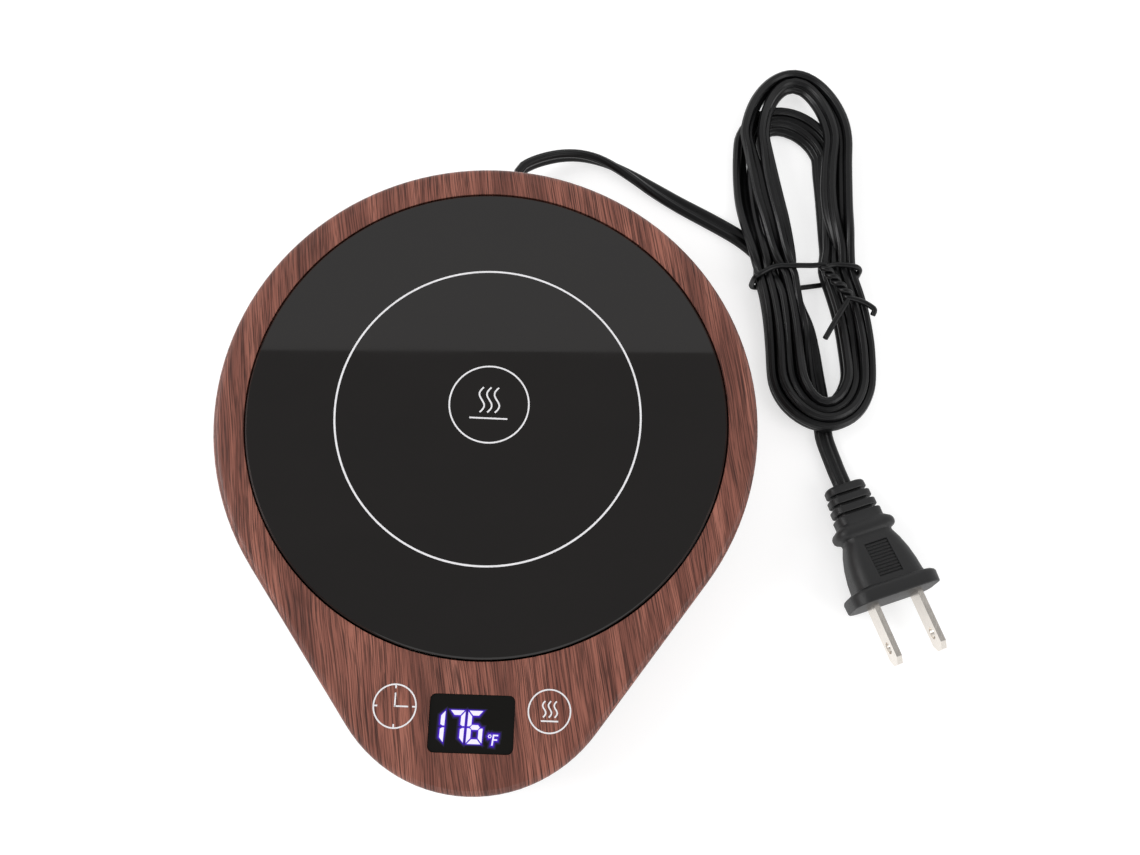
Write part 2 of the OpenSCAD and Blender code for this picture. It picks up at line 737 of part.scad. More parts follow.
module power_board_screws() color([0.66, 0.66, 0.68]) at_pairs(power_screws)
    translate([0, 0, z_power_top])
        screw_down(small_screw_r, small_head_r, small_head_h, board_t + power_screw_l - 0.2);

module terminal_block() color([0.15, 0.4, 0.2]) difference() {
    translate([terminal_spot[0], terminal_spot[1], z_power_top])
        translate([-terminal_size[0] / 2, -terminal_size[1] / 2, 0]) cube(terminal_size);
    for (side = [-1, 1])
        translate([terminal_spot[0] + side * mains_pitch, terminal_spot[1], z_terminal]) rotate([-90, 0, 0])
            cylinder(r = mains_wire_r + 0.25, h = terminal_size[1], $fn = fine);
}

module film_capacitor() color([0.85, 0.75, 0.2])
    translate([film_spot[0] - film_size[0] / 2, film_spot[1] - film_size[1] / 2, z_power_top])
        cube(film_size);

module bulk_capacitor() color([0.12, 0.12, 0.3])
    translate([bulk_spot[0], bulk_spot[1] - bulk_l / 2, z_power_top + bulk_r]) rotate([-90, 0, 0])
        cylinder(r = bulk_r, h = bulk_l, $fn = fine);

module triac() color([0.1, 0.1, 0.1]) translate([triac_spot[0], triac_spot[1], z_power_top]) difference() {
    union() {
        translate([-triac_body[0] / 2, 0, 0]) cube(triac_body);
        translate([-triac_tab[0] / 2, -triac_tab[1], 0]) cube([triac_tab[0], triac_tab[1] + 1, triac_tab[2]]);
    }
    translate([0, -triac_tab[1] / 2, -1]) cylinder(r = triac_hole_r, h = triac_tab[2] + 2, $fn = fine);
}

module board_fuse() color([0.8, 0.82, 0.85])
    translate([board_fuse_spot[0] - board_fuse_l / 2, board_fuse_spot[1], z_power_top + fuse_r])
        rotate([0, 90, 0]) {
            cylinder(r = fuse_r - 0.2, h = board_fuse_l, $fn = fine);
            for (end = [0, board_fuse_l - 4]) translate([0, 0, end]) cylinder(r = fuse_r, h = 4, $fn = fine);
        }

// Two cores from the grommet to the terminal block
module mains_leads() color([0.75, 0.72, 0.7]) {
    y_from = y_sleeve - 0.15;
    y_to = terminal_spot[1] + terminal_size[1] / 2 - terminal_in;
    y_mouth = y_to + terminal_in + 1;
    run = y_from - y_mouth;
    z_end = z_terminal;
    for (side = [-1, 1])
        swept_tube([
            [cord_x + side * 0.9, y_from, cord_z, 0],
            [cord_x + side * 1.1, y_from - run / 5, cord_z, 0],
            [cord_x + side * 1.8, y_mouth + run / 2, (cord_z + z_end) / 2, 0],
            [cord_x + side * mains_pitch, y_mouth, z_end, 0],
            [cord_x + side * mains_pitch, y_to, z_end, 0]], 2 * mains_wire_r, 2 * mains_wire_r, 8);
}

// ---- cord entry ----

module cord_grommet() color([0.05, 0.05, 0.05]) translate([cord_x, 0, cord_z]) {
    hull() {
        translate([0, rear_y + 0.2, 0]) rounded_bar(nose_root, 2, 0.6);
        translate([0, exit_y - 0.4, 0]) rounded_bar(nose_tip, 1.6, 0.4);
    }
    translate([0, y_sleeve, 0]) rounded_bar(grommet_neck, grommet_corner, rear_y - y_sleeve + 0.4);
    translate([0, y_flange, 0])
        rounded_bar([grommet_neck[0] + 2 * flange_out, grommet_neck[1]], grommet_corner, flange_t);
}

module cord_clamp() color([0.12, 0.12, 0.12]) translate([cord_x, clamp_y, z_neck_top]) difference() {
    translate([-clamp_size[0] / 2, -clamp_size[1] / 2, 0]) cube(clamp_size);
    for (side = [-1, 1]) translate([side * clamp_x, 0, -1])
        cylinder(r = small_hole_r, h = clamp_size[2] + 2, $fn = fine);
}

module cord_clamp_screws() color([0.66, 0.66, 0.68])
    for (side = [-1, 1]) translate([cord_x + side * clamp_x, clamp_y, z_neck_top + clamp_size[2]])
        screw_down(small_screw_r, small_head_r, small_head_h, clamp_size[2] + 4);

// ---- switch ----

module switch_body() color([0.1, 0.1, 0.12]) difference() {
    translate([-switch_size[0] / 2, disc_y - switch_size[1] / 2, z_floor]) cube(switch_size);
    translate([0, disc_y, z_switch - plunger_in - press_travel - 0.6])
        cylinder(r = plunger_r + guide_clear, h = switch_size[2], $fn = fine);
    for (side = [-1, 1])
        translate([side * switch_hole_pitch / 2, disc_y - switch_size[1], switch_hole_z]) rotate([-90, 0, 0])
            cylinder(r = small_hole_r, h = 2 * switch_size[1], $fn = fine);
}

module switch_screws() color([0.66, 0.66, 0.68])
    for (side = [-1, 1])
        translate([side * switch_hole_pitch / 2, disc_y - switch_size[1] / 2, switch_hole_z])
            rotate([-90, 0, 0]) screw_up(small_screw_r, small_head_r, small_head_h, switch_size[1] + 1.6);

module switch_plunger() color([0.75, 0.1, 0.1]) translate([0, disc_y, z_switch - plunger_in])
    cylinder(r = plunger_r, h = plunger_in + plunger_up, $fn = fine);

// ---- floating plate ----

module glass_plate() color([0.04, 0.04, 0.045]) translate([0, disc_y, 0]) rotate_extrude($fn = fine)
    polygon([[0, z_glass], [glass_r - 0.3, z_glass], [glass_r, z_glass + 0.3],
        [glass_r, z_glass_top - 0.5], [glass_r - 0.5, z_glass_top], [0, z_glass_top]]);

module glass_seal() color([0.8, 0.8, 0.8]) translate([0, disc_y, z_seal]) difference() {
    cylinder(r = shelf_r - 1, h = seal_t, $fn = fine);
    translate([0, 0, -1]) cylinder(r = shelf_r - 7, h = seal_t + 2, $fn = fine);
}

module heat_spreader() color([0.8, 0.81, 0.83]) translate([0, disc_y, z_spreader])
    cylinder(r = spreader_r, h = spreader_t, $fn = fine);

module heating_element() color([0.7, 0.55, 0.3]) translate([0, disc_y, z_element])
    cylinder(r = element_r, h = element_t, $fn = fine);

module sensor_slot(low, h) {
    translate([-sensor_window[0] / 2, sensor_y - sensor_window[1] / 2, low])
        cube([sensor_window[0], sensor_window[1], h]);
}

module lead_holes(low, h) {
    for (side = [-1, 1]) translate([side * heater_lead_x, heater_lead_y, low])
        cylinder(r = lead_hole_r, h = h, $fn = fine);
}

module insulation_pad() color([0.88, 0.87, 0.82]) difference() {
    translate([0, disc_y, z_insulation]) cylinder(r = insulation_r, h = insulation_t, $fn = fine);
    sensor_slot(z_insulation - 1, insulation_t + 2);
    lead_holes(z_insulation - 1, insulation_t + 2);
}

module plate_carrier() color([0.16, 0.16, 0.17]) difference() {
    union() {
        translate([0, disc_y, 0]) {
            translate([0, 0, z_shelf]) cylinder(r = shelf_r, h = carrier_t, $fn = fine);
            translate([0, 0, z_dish]) cylinder(r = dish_outer_r, h = z_shelf - z_dish + 1, $fn = fine);
            translate([0, 0, z_plunger + post_gap]) cylinder(r = post_r, h = z_dish - z_plunger, $fn = fine);
        }
        round_plate(spring_angles, spring_at) translate([0, 0, z_pin])
            cylinder(r = pin_r, h = z_shelf - z_pin + 1, $fn = fine);
        intersection() {
            round_plate(stop_angles, shelf_r) translate([-tab_w / 2, -tab_w / 2, z_shelf])
                cube([tab_w, tab_w, z_glass - z_shelf]);
            translate([0, disc_y, z_shelf]) difference() {
                cylinder(r = tab_r, h = z_glass - z_shelf, $fn = fine);
                translate([0, 0, -1]) cylinder(r = shelf_r - 0.6, h = carrier_t + 4, $fn = fine);
            }
        }
        for (angle = rib_angles) translate([0, disc_y, 0]) rotate([0, 0, angle])
            translate([dish_outer_r - 0.5, -0.6, z_shelf - 2]) cube([shelf_r - dish_outer_r - 2, 1.2, 3]);
    }
    translate([0, disc_y, z_insulation]) cylinder(r = dish_r, h = z_glass - z_insulation + 1, $fn = fine);
    sensor_slot(z_dish - 1, carrier_t + 2);
    lead_holes(z_dish - 1, carrier_t + 2);
    for (side = [-1, 1]) translate([side * clip_screw_x, sensor_y, z_dish - 1])
        cylinder(r = board_pilot_r, h = carrier_t + 2, $fn = fine);
}

module temperature_sensor() color([0.85, 0.85, 0.8])
    translate([-sensor_window[0] / 2 + 3, sensor_y, z_dish + sensor_r]) rotate([0, 90, 0])
        cylinder(r = sensor_r, h = sensor_l, $fn = fine);

module thermal_fuse() color([0.7, 0.7, 0.72])
    translate([sensor_window[0] / 2 - 2 - fuse_l, sensor_y, z_dish + sensor_r]) rotate([0, 90, 0])
        cylinder(r = sensor_r, h = fuse_l, $fn = fine);

module sensor_clip() color([0.78, 0.78, 0.8]) translate([0, sensor_y, z_clip]) difference() {
    translate([-clip_size[0] / 2, -clip_size[1] / 2, 0]) cube(clip_size);
    for (side = [-1, 1]) translate([side * clip_screw_x, 0, -1])
        cylinder(r = small_screw_r + 0.15, h = clip_size[2] + 2, $fn = fine);
}

module sensor_clip_screws() color([0.66, 0.66, 0.68])
    for (side = [-1, 1]) translate([side * clip_screw_x, sensor_y, z_clip])
        screw_up(small_screw_r, small_head_r, small_head_h, clip_size[2] + carrier_t);

module plate_springs() color([0.72, 0.72, 0.74])
    round_plate(spring_angles, spring_at)
        coil_spring(spring_r, spring_wire, spring_turns, z_floor, z_shelf);

module heater_leads() color([0.85, 0.2, 0.15])
    for (side = [-1, 1]) swept_tube([
        [side * heater_lead_x, heater_lead_y, z_power_top + 0.15, 0],
        [side * heater_lead_x, heater_lead_y + 0.3, z_power_top + 2, 0],
        [side * heater_lead_x, heater_lead_y + 0.3, z_dish - 1, 0],
        [side * heater_lead_x, heater_lead_y, z_element - 0.1, 0]], 2 * lead_r, 2 * lead_r, 8);

// ---- cord, hank, tie and plug ----

module cord_lead() color([0.06, 0.06, 0.06]) swept_tube(lead_route, cord_w, cord_t, 8);

module cord_tail() color([0.06, 0.06, 0.06]) swept_tube(tail_route, cord_w, cord_t, 8);

module drum(at, r, h) {
    translate([at[0], at[1], 0]) cylinder(r = r, h = h, $fn = 40);
}

module hank_waist_block() {
    translate([hank_waist[0], hank_waist[1], 0]) linear_extrude(hank_low_h)
        square(hank_waist_size, center = true);
}

module cord_hank() color([0.06, 0.06, 0.06]) difference() {
    union() {
        hull() {
            drum(hank_front, hank_front_r, hank_low_h);
            drum(hank_front_tip, hank_front_tip_r, hank_low_h);
            hank_waist_block();
        }
        hull() {
            drum(hank_short, hank_short_r, hank_low_h);
            hank_waist_block();
        }
        hull() {
            drum(hank_long, hank_long_r, hank_top_h);
            drum(hank_long_tip, hank_long_tip_r, hank_top_h);
            drum(hank_top_from, hank_waist_size[0] / 2, hank_top_h);
        }
    }
    translate([0, 0, -1]) for (i = [0, 1]) hull()
        for (end = [hank_hole[i], hank_hole[i + 1]]) drum(end, end[2], hank_top_h + 2);
    translate([0, tie_notch[0] - tie_notch[1] / 2, -1])
        cube([rear_y * 2, tie_notch[1], tie_wire + tie_gap + 1]);
}

// One strand of the twist, a half turn away from the other, from end to end
function tie_strand(half) =
    let (steps = 8 * tie_twist_turns, along = tie_twist_to - tie_twist_from,
         side = unit(cross(along, [0, 0, 1])))
    [for (i = [0:steps])
        let (a = 180 * half + 360 * tie_twist_turns * i / steps,
             p = tie_twist_from + along * i / steps
                 + (side * cos(a) + [0, 0, 1] * sin(a)) * tie_wire / 2)
        [p[0], p[1], p[2], 0]];

function reversed(list) = [for (i = [len(list) - 1:-1:0]) list[i]];

module twist_tie() color([0.05, 0.05, 0.05]) swept_tube(
    concat(reversed(tie_ends[0]), reversed(tie_strand(1)), tie_loop, tie_strand(0), tie_ends[1]),
    tie_wire, tie_wire, 6);

// Places its children on the plug's own axes: +Y runs towards the blades
module on_plug() {
    translate([plug_at[0], plug_at[1], plug_z]) rotate([0, 0, plug_heading]) rotate([plug_pitch, 0, 0])
        children();
}

module plug_body() color([0.07, 0.07, 0.07]) on_plug() difference() {
    union() {
        hull() {
            rounded_bar([relief_size[0] - 2, relief_size[1] - 1.4], 2, 0.5);
            translate([0, relief_l - 0.5, 0])
                rounded_bar([relief_end[0] - 2, relief_end[1] - 1.4], 2.4, 0.5);
        }
        for (i = [0:slot_count]) {
            start = i == 0 ? 0 : slot_from + (i - 1) * slot_pitch + slot_w;
            end = i == slot_count ? relief_l : slot_from + i * slot_pitch;
            size = relief_size + (relief_end - relief_size) * i / slot_count;
            translate([0, start, 0]) rounded_bar(size, 2.6, end - start);
        }
        translate([0, relief_l, 0]) rounded_bar(rear_flange, 3.4, rear_flange_t);
        hull() {
            translate([0, relief_l + 1, 0]) rounded_bar(body_rear, 3.2, 1);
            translate([0, plug_l - body_middle_in, 0]) rounded_bar(body_middle, 4, 1);
        }
        hull() {
            translate([0, plug_l - body_middle_in, 0]) rounded_bar(body_middle, 4, 1);
            translate([0, plug_l - body_front_in, 0]) rounded_bar(body_front, 4, 1);
        }
        translate([0, plug_l - front_flange_t, 0]) rounded_bar(plug_face, 4.5, front_flange_t);
    }
    for (side = [-1, 1])
        translate([side * blade_pitch / 2 - blade_t / 2, plug_l - blade_in, -blade_h / 2])
            cube([blade_t, blade_in + 1, blade_h]);
}

module plug_blades() color([0.78, 0.77, 0.74]) on_plug() for (side = [-1, 1])
    translate([side * blade_pitch / 2 - blade_t / 2, plug_l - blade_in, 0]) difference() {
        tip = blade_in + blade_l;
        rotate([90, 0, 90]) linear_extrude(blade_t) polygon([
            [0, -blade_h / 2], [tip - blade_bevel, -blade_h / 2], [tip, blade_bevel - blade_h / 2],
            [tip, blade_h / 2 - blade_bevel], [tip - blade_bevel, blade_h / 2], [0, blade_h / 2]]);
        translate([-1, tip - blade_hole_in, 0]) rotate([0, 90, 0])
            cylinder(r = blade_hole_r, h = blade_t + 2, $fn = fine);
    }

// ---- what is drawn ----

top_housing();
bottom_housing();
rubber_feet();
housing_screws();
display_window();
display_module();
control_board();
control_board_screws();
touch_springs();
display_cable();
power_board();
power_board_screws();
terminal_block();
film_capacitor();
bulk_capacitor();
triac();
board_fuse();
mains_leads();
cord_clamp();
cord_clamp_screws();
switch_body();
switch_screws();
switch_plunger();
glass_plate();
glass_seal();
heat_spreader();
heating_element();
insulation_pad();
plate_carrier();
temperature_sensor();
thermal_fuse();
sensor_clip();
sensor_clip_screws();
plate_springs();
heater_leads();
cord_grommet();
cord_lead();
cord_hank();
cord_tail();
twist_tie();
plug_body();
plug_blades();
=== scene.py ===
"""Electric mug warmer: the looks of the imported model, in metres, in the model's own frame."""

import json
import math

import bmesh
import bpy
from mathutils import Euler, Matrix, Vector


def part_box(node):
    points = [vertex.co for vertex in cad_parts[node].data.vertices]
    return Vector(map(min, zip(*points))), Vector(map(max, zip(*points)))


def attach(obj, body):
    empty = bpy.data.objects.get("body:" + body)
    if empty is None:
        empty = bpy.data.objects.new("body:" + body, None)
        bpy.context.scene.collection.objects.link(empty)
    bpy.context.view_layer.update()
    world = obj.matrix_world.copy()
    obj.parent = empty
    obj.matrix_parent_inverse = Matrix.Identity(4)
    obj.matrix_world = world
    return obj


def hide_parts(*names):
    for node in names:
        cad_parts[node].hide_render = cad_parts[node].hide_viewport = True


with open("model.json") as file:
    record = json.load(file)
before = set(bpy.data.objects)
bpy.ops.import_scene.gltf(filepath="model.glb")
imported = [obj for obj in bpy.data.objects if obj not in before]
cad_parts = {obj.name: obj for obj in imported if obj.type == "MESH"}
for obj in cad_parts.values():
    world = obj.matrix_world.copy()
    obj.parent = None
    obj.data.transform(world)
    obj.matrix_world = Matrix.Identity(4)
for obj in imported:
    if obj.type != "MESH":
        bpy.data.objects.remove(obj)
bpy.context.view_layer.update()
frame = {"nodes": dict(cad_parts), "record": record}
NODES = frame["nodes"]
MM = 0.001

# ---- driving values, in millimetres and degrees ----

# The camera, fitted to the photograph, with its focal length in the photograph's pixels
PHOTO_W = 1140
CAMERA_AT = (12.393, -62.734, 292.80)
CAMERA_TURN = (14.85, -2.47, 1.93)
CAMERA_FOCAL_PX = 1058.4
SENSOR_W = 36.0

# The flat two-core cord, one core finely ribbed. Its length alone is in metres.
CORD_W = 5.2
CORD_T = 2.6
CORD_WEB = 1.5
CORD_STEP = 1.8
CORD_RIBS = 9
CORD_RIB_H = 0.045
RIBBED_STEPS = 24
PLAIN_STEPS = 6

# The cord's free ends: x, y, z and the roll of its width, 0 flat and 90 on edge
LEAD_ROUTE = [
    (4, 87, 8, 90), (4, 88.3, 8, 90), (4.2, 90.3, 7.9, 90), (5.5, 92.6, 7.5, 90),
    (8.2, 94.8, 6.8, 90), (12.2, 97, 5.9, 90), (17, 98.8, 4.9, 88),
    (22.4, 99.6, 4, 84), (28, 99, 3.2, 76), (33.6, 96.9, 2.8, 60),
    (39.2, 94, 2.4, 42), (44.8, 90.8, 1.9, 24), (52.9, 86.3, 1.5, 8),
    (61.2, 82, 1.4, 0), (66.6, 79.1, 1.4, 0), (71.5, 76.2, 1.4, 0),
    (76, 72.6, 1.4, 4), (78.8, 69.4, 1.4, 8), (80.7, 66.2, 1.9, 34), (81.5, 62.8, 3.4, 70)]
TAIL_ROUTE = [
    (87.5, 59, 4.3, 82), (88.8, 54, 4, 64), (90.8, 48, 3.3, 38), (92.2, 41, 2.2, 12),
    (93.3, 34, 1.5, 0), (94.4, 27, 1.4, 0), (95, 21, 1.4, 0), (95.4, 15.5, 1.4, 0),
    (96.2, 12.6, 1.4, 0), (97.4, 8.8, 1.8, 0), (98.5, 5, 2.5, 0), (99.3, 2.5, 3.1, 0),
    (99.7, 1.3, 3.3, 0), (100.2, -0.3, 3.4, 0)]

# The hank's turns, each with its front bend's half width; where it crosses the tie follows
# from that. The first and third turn run round the shorter back loop, which lies under
# the longer one of the other two.
FRONT_BEND = (94.7, 36.0)
FRONT_RADII = [9.4, 14.6, 6.8, 12.0]
# A front bend's depth: a length, and a share of its half width
FRONT_DEPTH = (5.9, 0.87)
# Every other strand rides a little higher, in its neighbours' grooves
NESTED = (6.8, 12.0)
NEST_LIFT = 1.2
BEND_STEPS = 12
LEG_ROWS = (58, 53, 48, 42)
# The roll of a strand on edge, and the height of its middle: on the table, where it
# crosses over the tail, at the tie, and in the longer back loop
ON_EDGE = 84
ON_EDGE_Z = 2.7
HUMP_Z = 5.4
TIE_Z = 4.4
HIGH_Z = 7.1
# The crossing over the tail: half of its level top, and the slope beside it
HUMP_TOP = 4.5
HUMP_SLOPE = 15
# The climb to the tie: how far behind the front bend's centre it starts, and its length
CLIMB_FROM = 4
CLIMB_L = 20
# How far a left and a right strand have moved sideways at the tie, and how much further
# back the right ones cross it
TIE_Y = 64.0
TIE_SHIFT = {-1: -3.8, 1: -5.5}
TIE_SLANT = 2
# Where the last strand ends at the tie, and the share that a back bend narrows by
LAST_X = 86.7
BACK_NARROW = 0.08

# The plug, from its strain relief's end to its face. Pairs of sizes are width and height.
PLUG_AT = (99.9, 0.9)
PLUG_HEADING = 200.0
PLUG_L = 34.0
RELIEF_SIZE = (11.5, 6.8)
RELIEF_END = (13.2, 8.4)
RELIEF_L = 12.0
RELIEF_SLOTS = 3
SLOT_FROM = 2.45
SLOT_W = 0.9
SLOT_PITCH = 2.85
REAR_FLANGE = (17.5, 10.2)
REAR_FLANGE_T = 3.5
PLUG_FACE = (25.0, 15.5)
FRONT_FLANGE_T = 4.0
PLUG_SHARP_ANGLE = 28

# The sunk grips on the plug's two broad sides, and the ribs that stand in them. A rib's
# section is along and up, from the grip's floor.
GRIP_HALF_W = 3.3
GRIP_FROM = 18.6
GRIP_TO = 28.4
GRIP_DEPTH = 0.45
GRIP_RIBS = 10
RIB_END_GAP = 0.1
RIB_SECTION = [(-0.34, -0.05), (-0.26, 0.22), (-0.1, 0.36), (0.1, 0.36), (0.26, 0.22), (0.34, -0.05)]

# The twist tie: its loop round the hank, its twist and its two loose ends
TIE_WIRE = 1.6
TIE_STEP = 0.6
TIE_SIDES = 10
TIE_LOOP = [
    (91.4, 65.5, 8.2), (86, 65.3, 8.1), (82, 65, 8.1), (79.4, 64.2, 8.1), (77.4, 63, 8.2),
    (75.9, 62.1, 8.1), (75, 61.6, 7.6), (74.7, 61.3, 6.4), (74.7, 61.1, 3.2), (74.8, 61, 1.9),
    (75.3, 60.9, 1.1), (76.4, 60.9, 0.8), (82, 61, 0.8), (88, 61.2, 0.8), (94, 62.2, 0.8),
    (100, 63.4, 0.8), (104.8, 64.2, 0.8), (105.7, 64.3, 1.2), (106.05, 64.4, 2.4),
    (106, 64.8, 5.6), (105.9, 65.1, 7.1), (105.3, 65.5, 7.9), (104, 65.9, 8.2),
    (100, 66.2, 8.2), (97.4, 65.9, 8.2)]
TIE_TWIST = ((94.8, 65, 8.8), (101.8, 56.4, 8.8))
TIE_TWIST_TURNS = 2
TWIST_STEPS = 8
TIE_ENDS = [
    [(100.4, 53, 8.6), (97.6, 48.2, 8.4), (94.7, 43, 8.2)],
    [(104.8, 55, 8.8), (107.4, 53.9, 8.7), (109.4, 52.4, 8.4), (108.9, 50.9, 8)]]

# The prints: line widths, and how far a line stands over and reaches under its surface
RING_R = 40.3
RING_W = 0.5
MARK_W = 0.42
KEY_MARK_W = 0.37
PRINT_T = 0.04
PRINT_SINK = 0.02
# The sign's circle and its waves, measured from the plate's middle
SIGN_RING_Y = 2.6
SIGN_RING_R = 10.5
SIGN_WAVE_Y = 3.8
# A heat mark's waves swing to the sides and lean at their ends, over a bar further down:
# all three as shares of a wave's height
WAVE_SWING = 0.11
WAVE_LEAN = 0.45
BAR_DROP = 0.73
WAVE_STEPS = 16
# The keys lie at either side of the display; the clock has ticks from the ring inwards
KEY_AT = (19.0, -63.3)
KEY_R = 5.2
TICK = (0.2, 0.95)
HAND_UP = 3.2
HAND_ACROSS = 3.3
HAND_LAP = 0.18
KEY_WAVE_OFF = (0.1, 0.5)

# The lit number: digits of seven bars with mitred corners, from the window's middle
NUMBER = "176"
DIGIT_X = (-9.95, -5.05, -0.5)
DIGIT_Y = -0.8
DIGIT_W = 2.85
DIGIT_H = 6.75
DIGIT_SLANT = 0.04
BAR_W = 0.98
BAR_H = 1.12
BAR_GAP = 0.24
LIT = {"1": "bc", "7": "abc", "6": "acdefg"}
# The unit beside it: a letter with a stem and two arms, and a small ring
UNIT_X = 5.45
UNIT_H = 2.2
UNIT_LEAN = 0.2
STEM_W = 0.38
ARM_W = 0.34
UPPER_ARM_TO = 1.15
LOWER_ARM_TO = 1
LOWER_ARM_AT = 0.52
DEGREE_AT = (-0.72, 1.95)
DEGREE_R = 0.36
DEGREE_LINE = 0.18
DEGREE_SIDES = 6
# A halo of bands round each lit shape, from its edge outwards: reach and level. Lit
# shapes and halos lie just over the lens, and each band a little under the one before.
GLOW_BANDS = [(0.0, 1.0), (0.14, 1.0), (0.32, 0.6), (0.6, 0.16), (0.95, 0.0)]
CORNER_REACH = 1.3
LIT_UP = 0.03
GLOW_UP = 0.014
GLOW_FALL = 0.002


# ---- helpers ----

def link(obj):
    bpy.context.scene.collection.objects.link(obj)
    return obj


def mesh_piece(name, points, faces, body="root", smooth=True):
    """A mesh from points in millimetres, riding on a body."""
    mesh = bpy.data.meshes.new(name)
    mesh.from_pydata([Vector(p) * MM for p in points], [], faces)
    mesh.validate()
    for face in mesh.polygons:
        face.use_smooth = smooth
    piece = link(bpy.data.objects.new(name, mesh))
    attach(piece, body)
    return piece


def tidy_normals(piece):
    """Turns the faces of a closed piece outwards."""
    work = bmesh.new()
    work.from_mesh(piece.data)
    bmesh.ops.recalc_face_normals(work, faces=work.faces)
    work.to_mesh(piece.data)
    work.free()


def sharpen(piece, angle):
    """Marks the edges sharper than angle, so that the rest shade smoothly."""
    work = bmesh.new()
    work.from_mesh(piece.data)
    for edge in work.edges:
        edge.smooth = len(edge.link_faces) != 2 or edge.calc_face_angle(0) < math.radians(angle)
    work.to_mesh(piece.data)
    work.free()


def cut_out(piece, cutter):
    """Takes cutter's shape out of piece, then deletes cutter."""
    change = piece.modifiers.new("cut", "BOOLEAN")
    change.operation = "DIFFERENCE"
    change.solver = "EXACT"
    change.object = cutter
    graph = bpy.context.evaluated_depsgraph_get()
    made = bpy.data.meshes.new_from_object(piece.evaluated_get(graph))
    piece.modifiers.clear()
    piece.data = made
    bpy.data.objects.remove(cutter)


def catmull(rows, step):
    """A smooth line through rows of numbers, with points about step apart."""
    shortest = 0.01
    rows = [Vector(r) for r in rows]
    padded = [2 * rows[0] - rows[1], *rows, 2 * rows[-1] - rows[-2]]
    line = []
    for a, b, c, d in zip(padded, padded[1:], padded[2:], padded[3:]):
        span = (c - b).to_3d().length
        knots = [0.0]
        for p, q in ((a, b), (b, c), (c, d)):
            knots.append(knots[-1] + max((q - p).to_3d().length, shortest) ** 0.5)
        pieces = max(1, round(span / step))
        for i in range(pieces):
            t = knots[1] + (knots[2] - knots[1]) * i / pieces
            line.append(cubic((a, b, c, d), knots, t))
    return [*line, rows[-1]]


def cubic(points, knots, t):
    """Centripetal spline value at t, between the second and third point."""
    level = list(points)
    for width in (1, 2, 3):
        level = [
            blended(level[i], level[i + 1], *knot_span(i, width, knots), t)
            for i in range(len(level) - 1)]
    return level[0]


def knot_span(i, width, knots):
    """The knots that bound a blend of the given level."""
    if width == 1:
        return knots[i], knots[i + 1]
    if width == 2:
        return knots[i], knots[i + 2]
    return knots[1], knots[2]


def blended(p, q, start, end, t):
    share = (t - start) / (end - start)
    return p * (1 - share) + q * share


def smooth_step(t):
    t = min(max(t, 0.0), 1.0)
    return t * t * (3 - 2 * t)


def circle_line(centre, radius, count=128):
    return [
        (centre[0] + radius * math.cos(2 * math.pi * k / count),
         centre[1] + radius * math.sin(2 * math.pi * k / count)) for k in range(count)]


def side_faces(n, rings):
    """The faces between rings of n points each."""
    faces = []
    for i in range(1, rings):
        a, b = (i - 1) * n, i * n
        faces += [(a + k, a + (k + 1) % n, b + (k + 1) % n, b + k) for k in range(n)]
    return faces


def sweep(rows, section):
    """Points and faces of a closed tube: section's (across, up) points along rows
    of x, y, z, roll."""
    centres = [Vector(r[:3]) for r in rows]
    points = []
    for i, centre in enumerate(centres):
        ahead = (centres[min(i + 1, len(rows) - 1)] - centres[max(i - 1, 0)]).normalized()
        level = ahead.cross(Vector((0, 0, 1))).normalized()
        upward = level.cross(ahead)
        roll = math.radians(rows[i][3])
        across = level * math.cos(roll) + upward * math.sin(roll)
        up = upward * math.cos(roll) - level * math.sin(roll)
        points += [centre + across * s[0] + up * s[1] for s in section]
    n = len(section)
    ends = [tuple(range(n - 1, -1, -1)), tuple(range(len(points) - n, len(points)))]
    return points, side_faces(n, len(rows)) + ends


def joined(parts):
    """The points and faces of all parts as one mesh."""
    points, faces = [], []
    for p, f in parts:
        faces += [tuple(i + len(points) for i in face) for face in f]
        points += p
    return points, faces


# ---- camera ----

camera_data = bpy.data.cameras.new("camera")
camera_data.sensor_width = SENSOR_W
camera_data.lens = CAMERA_FOCAL_PX * SENSOR_W / PHOTO_W
camera_data.clip_start = 0.01
camera_data.clip_end = 10.0
camera = link(bpy.data.objects.new("camera", camera_data))
camera.location = Vector(CAMERA_AT) * MM
camera.rotation_euler = Euler([math.radians(a) for a in CAMERA_TURN], "XYZ")
bpy.context.scene.camera = camera


# ---- the cord ----

def resting(roll):
    """The cord's middle height when it lies on the table, rolled so far on edge."""
    return CORD_T / 2 + (CORD_W - CORD_T) / 2 * math.sin(math.radians(roll))


def on_table(rows):
    """Rows of x, y and roll, for a cord that rests on the table."""
    return [(x, y, resting(roll), roll) for x, y, roll in rows]


def tie_station(radius, side):
    """Where a strand crosses the tie, from its front bend's radius."""
    return FRONT_BEND[0] + side * radius + TIE_SHIFT[side]


def front_height(radius, along, y):
    """On edge on the table, over the tail at the bend's lowest point, and up at the tie.
    The length along the strand is counted from that lowest point."""
    at_tie = smooth_step((y - FRONT_BEND[1] - CLIMB_FROM) / CLIMB_L)
    hump = (HUMP_Z - ON_EDGE_Z) * smooth_step(1 - (abs(along) - HUMP_TOP) / HUMP_SLOPE)
    nest = NEST_LIFT * (1 - at_tie) if radius in NESTED else 0.0
    return ON_EDGE_Z + max(hump, (TIE_Z - ON_EDGE_Z) * at_tie) + nest


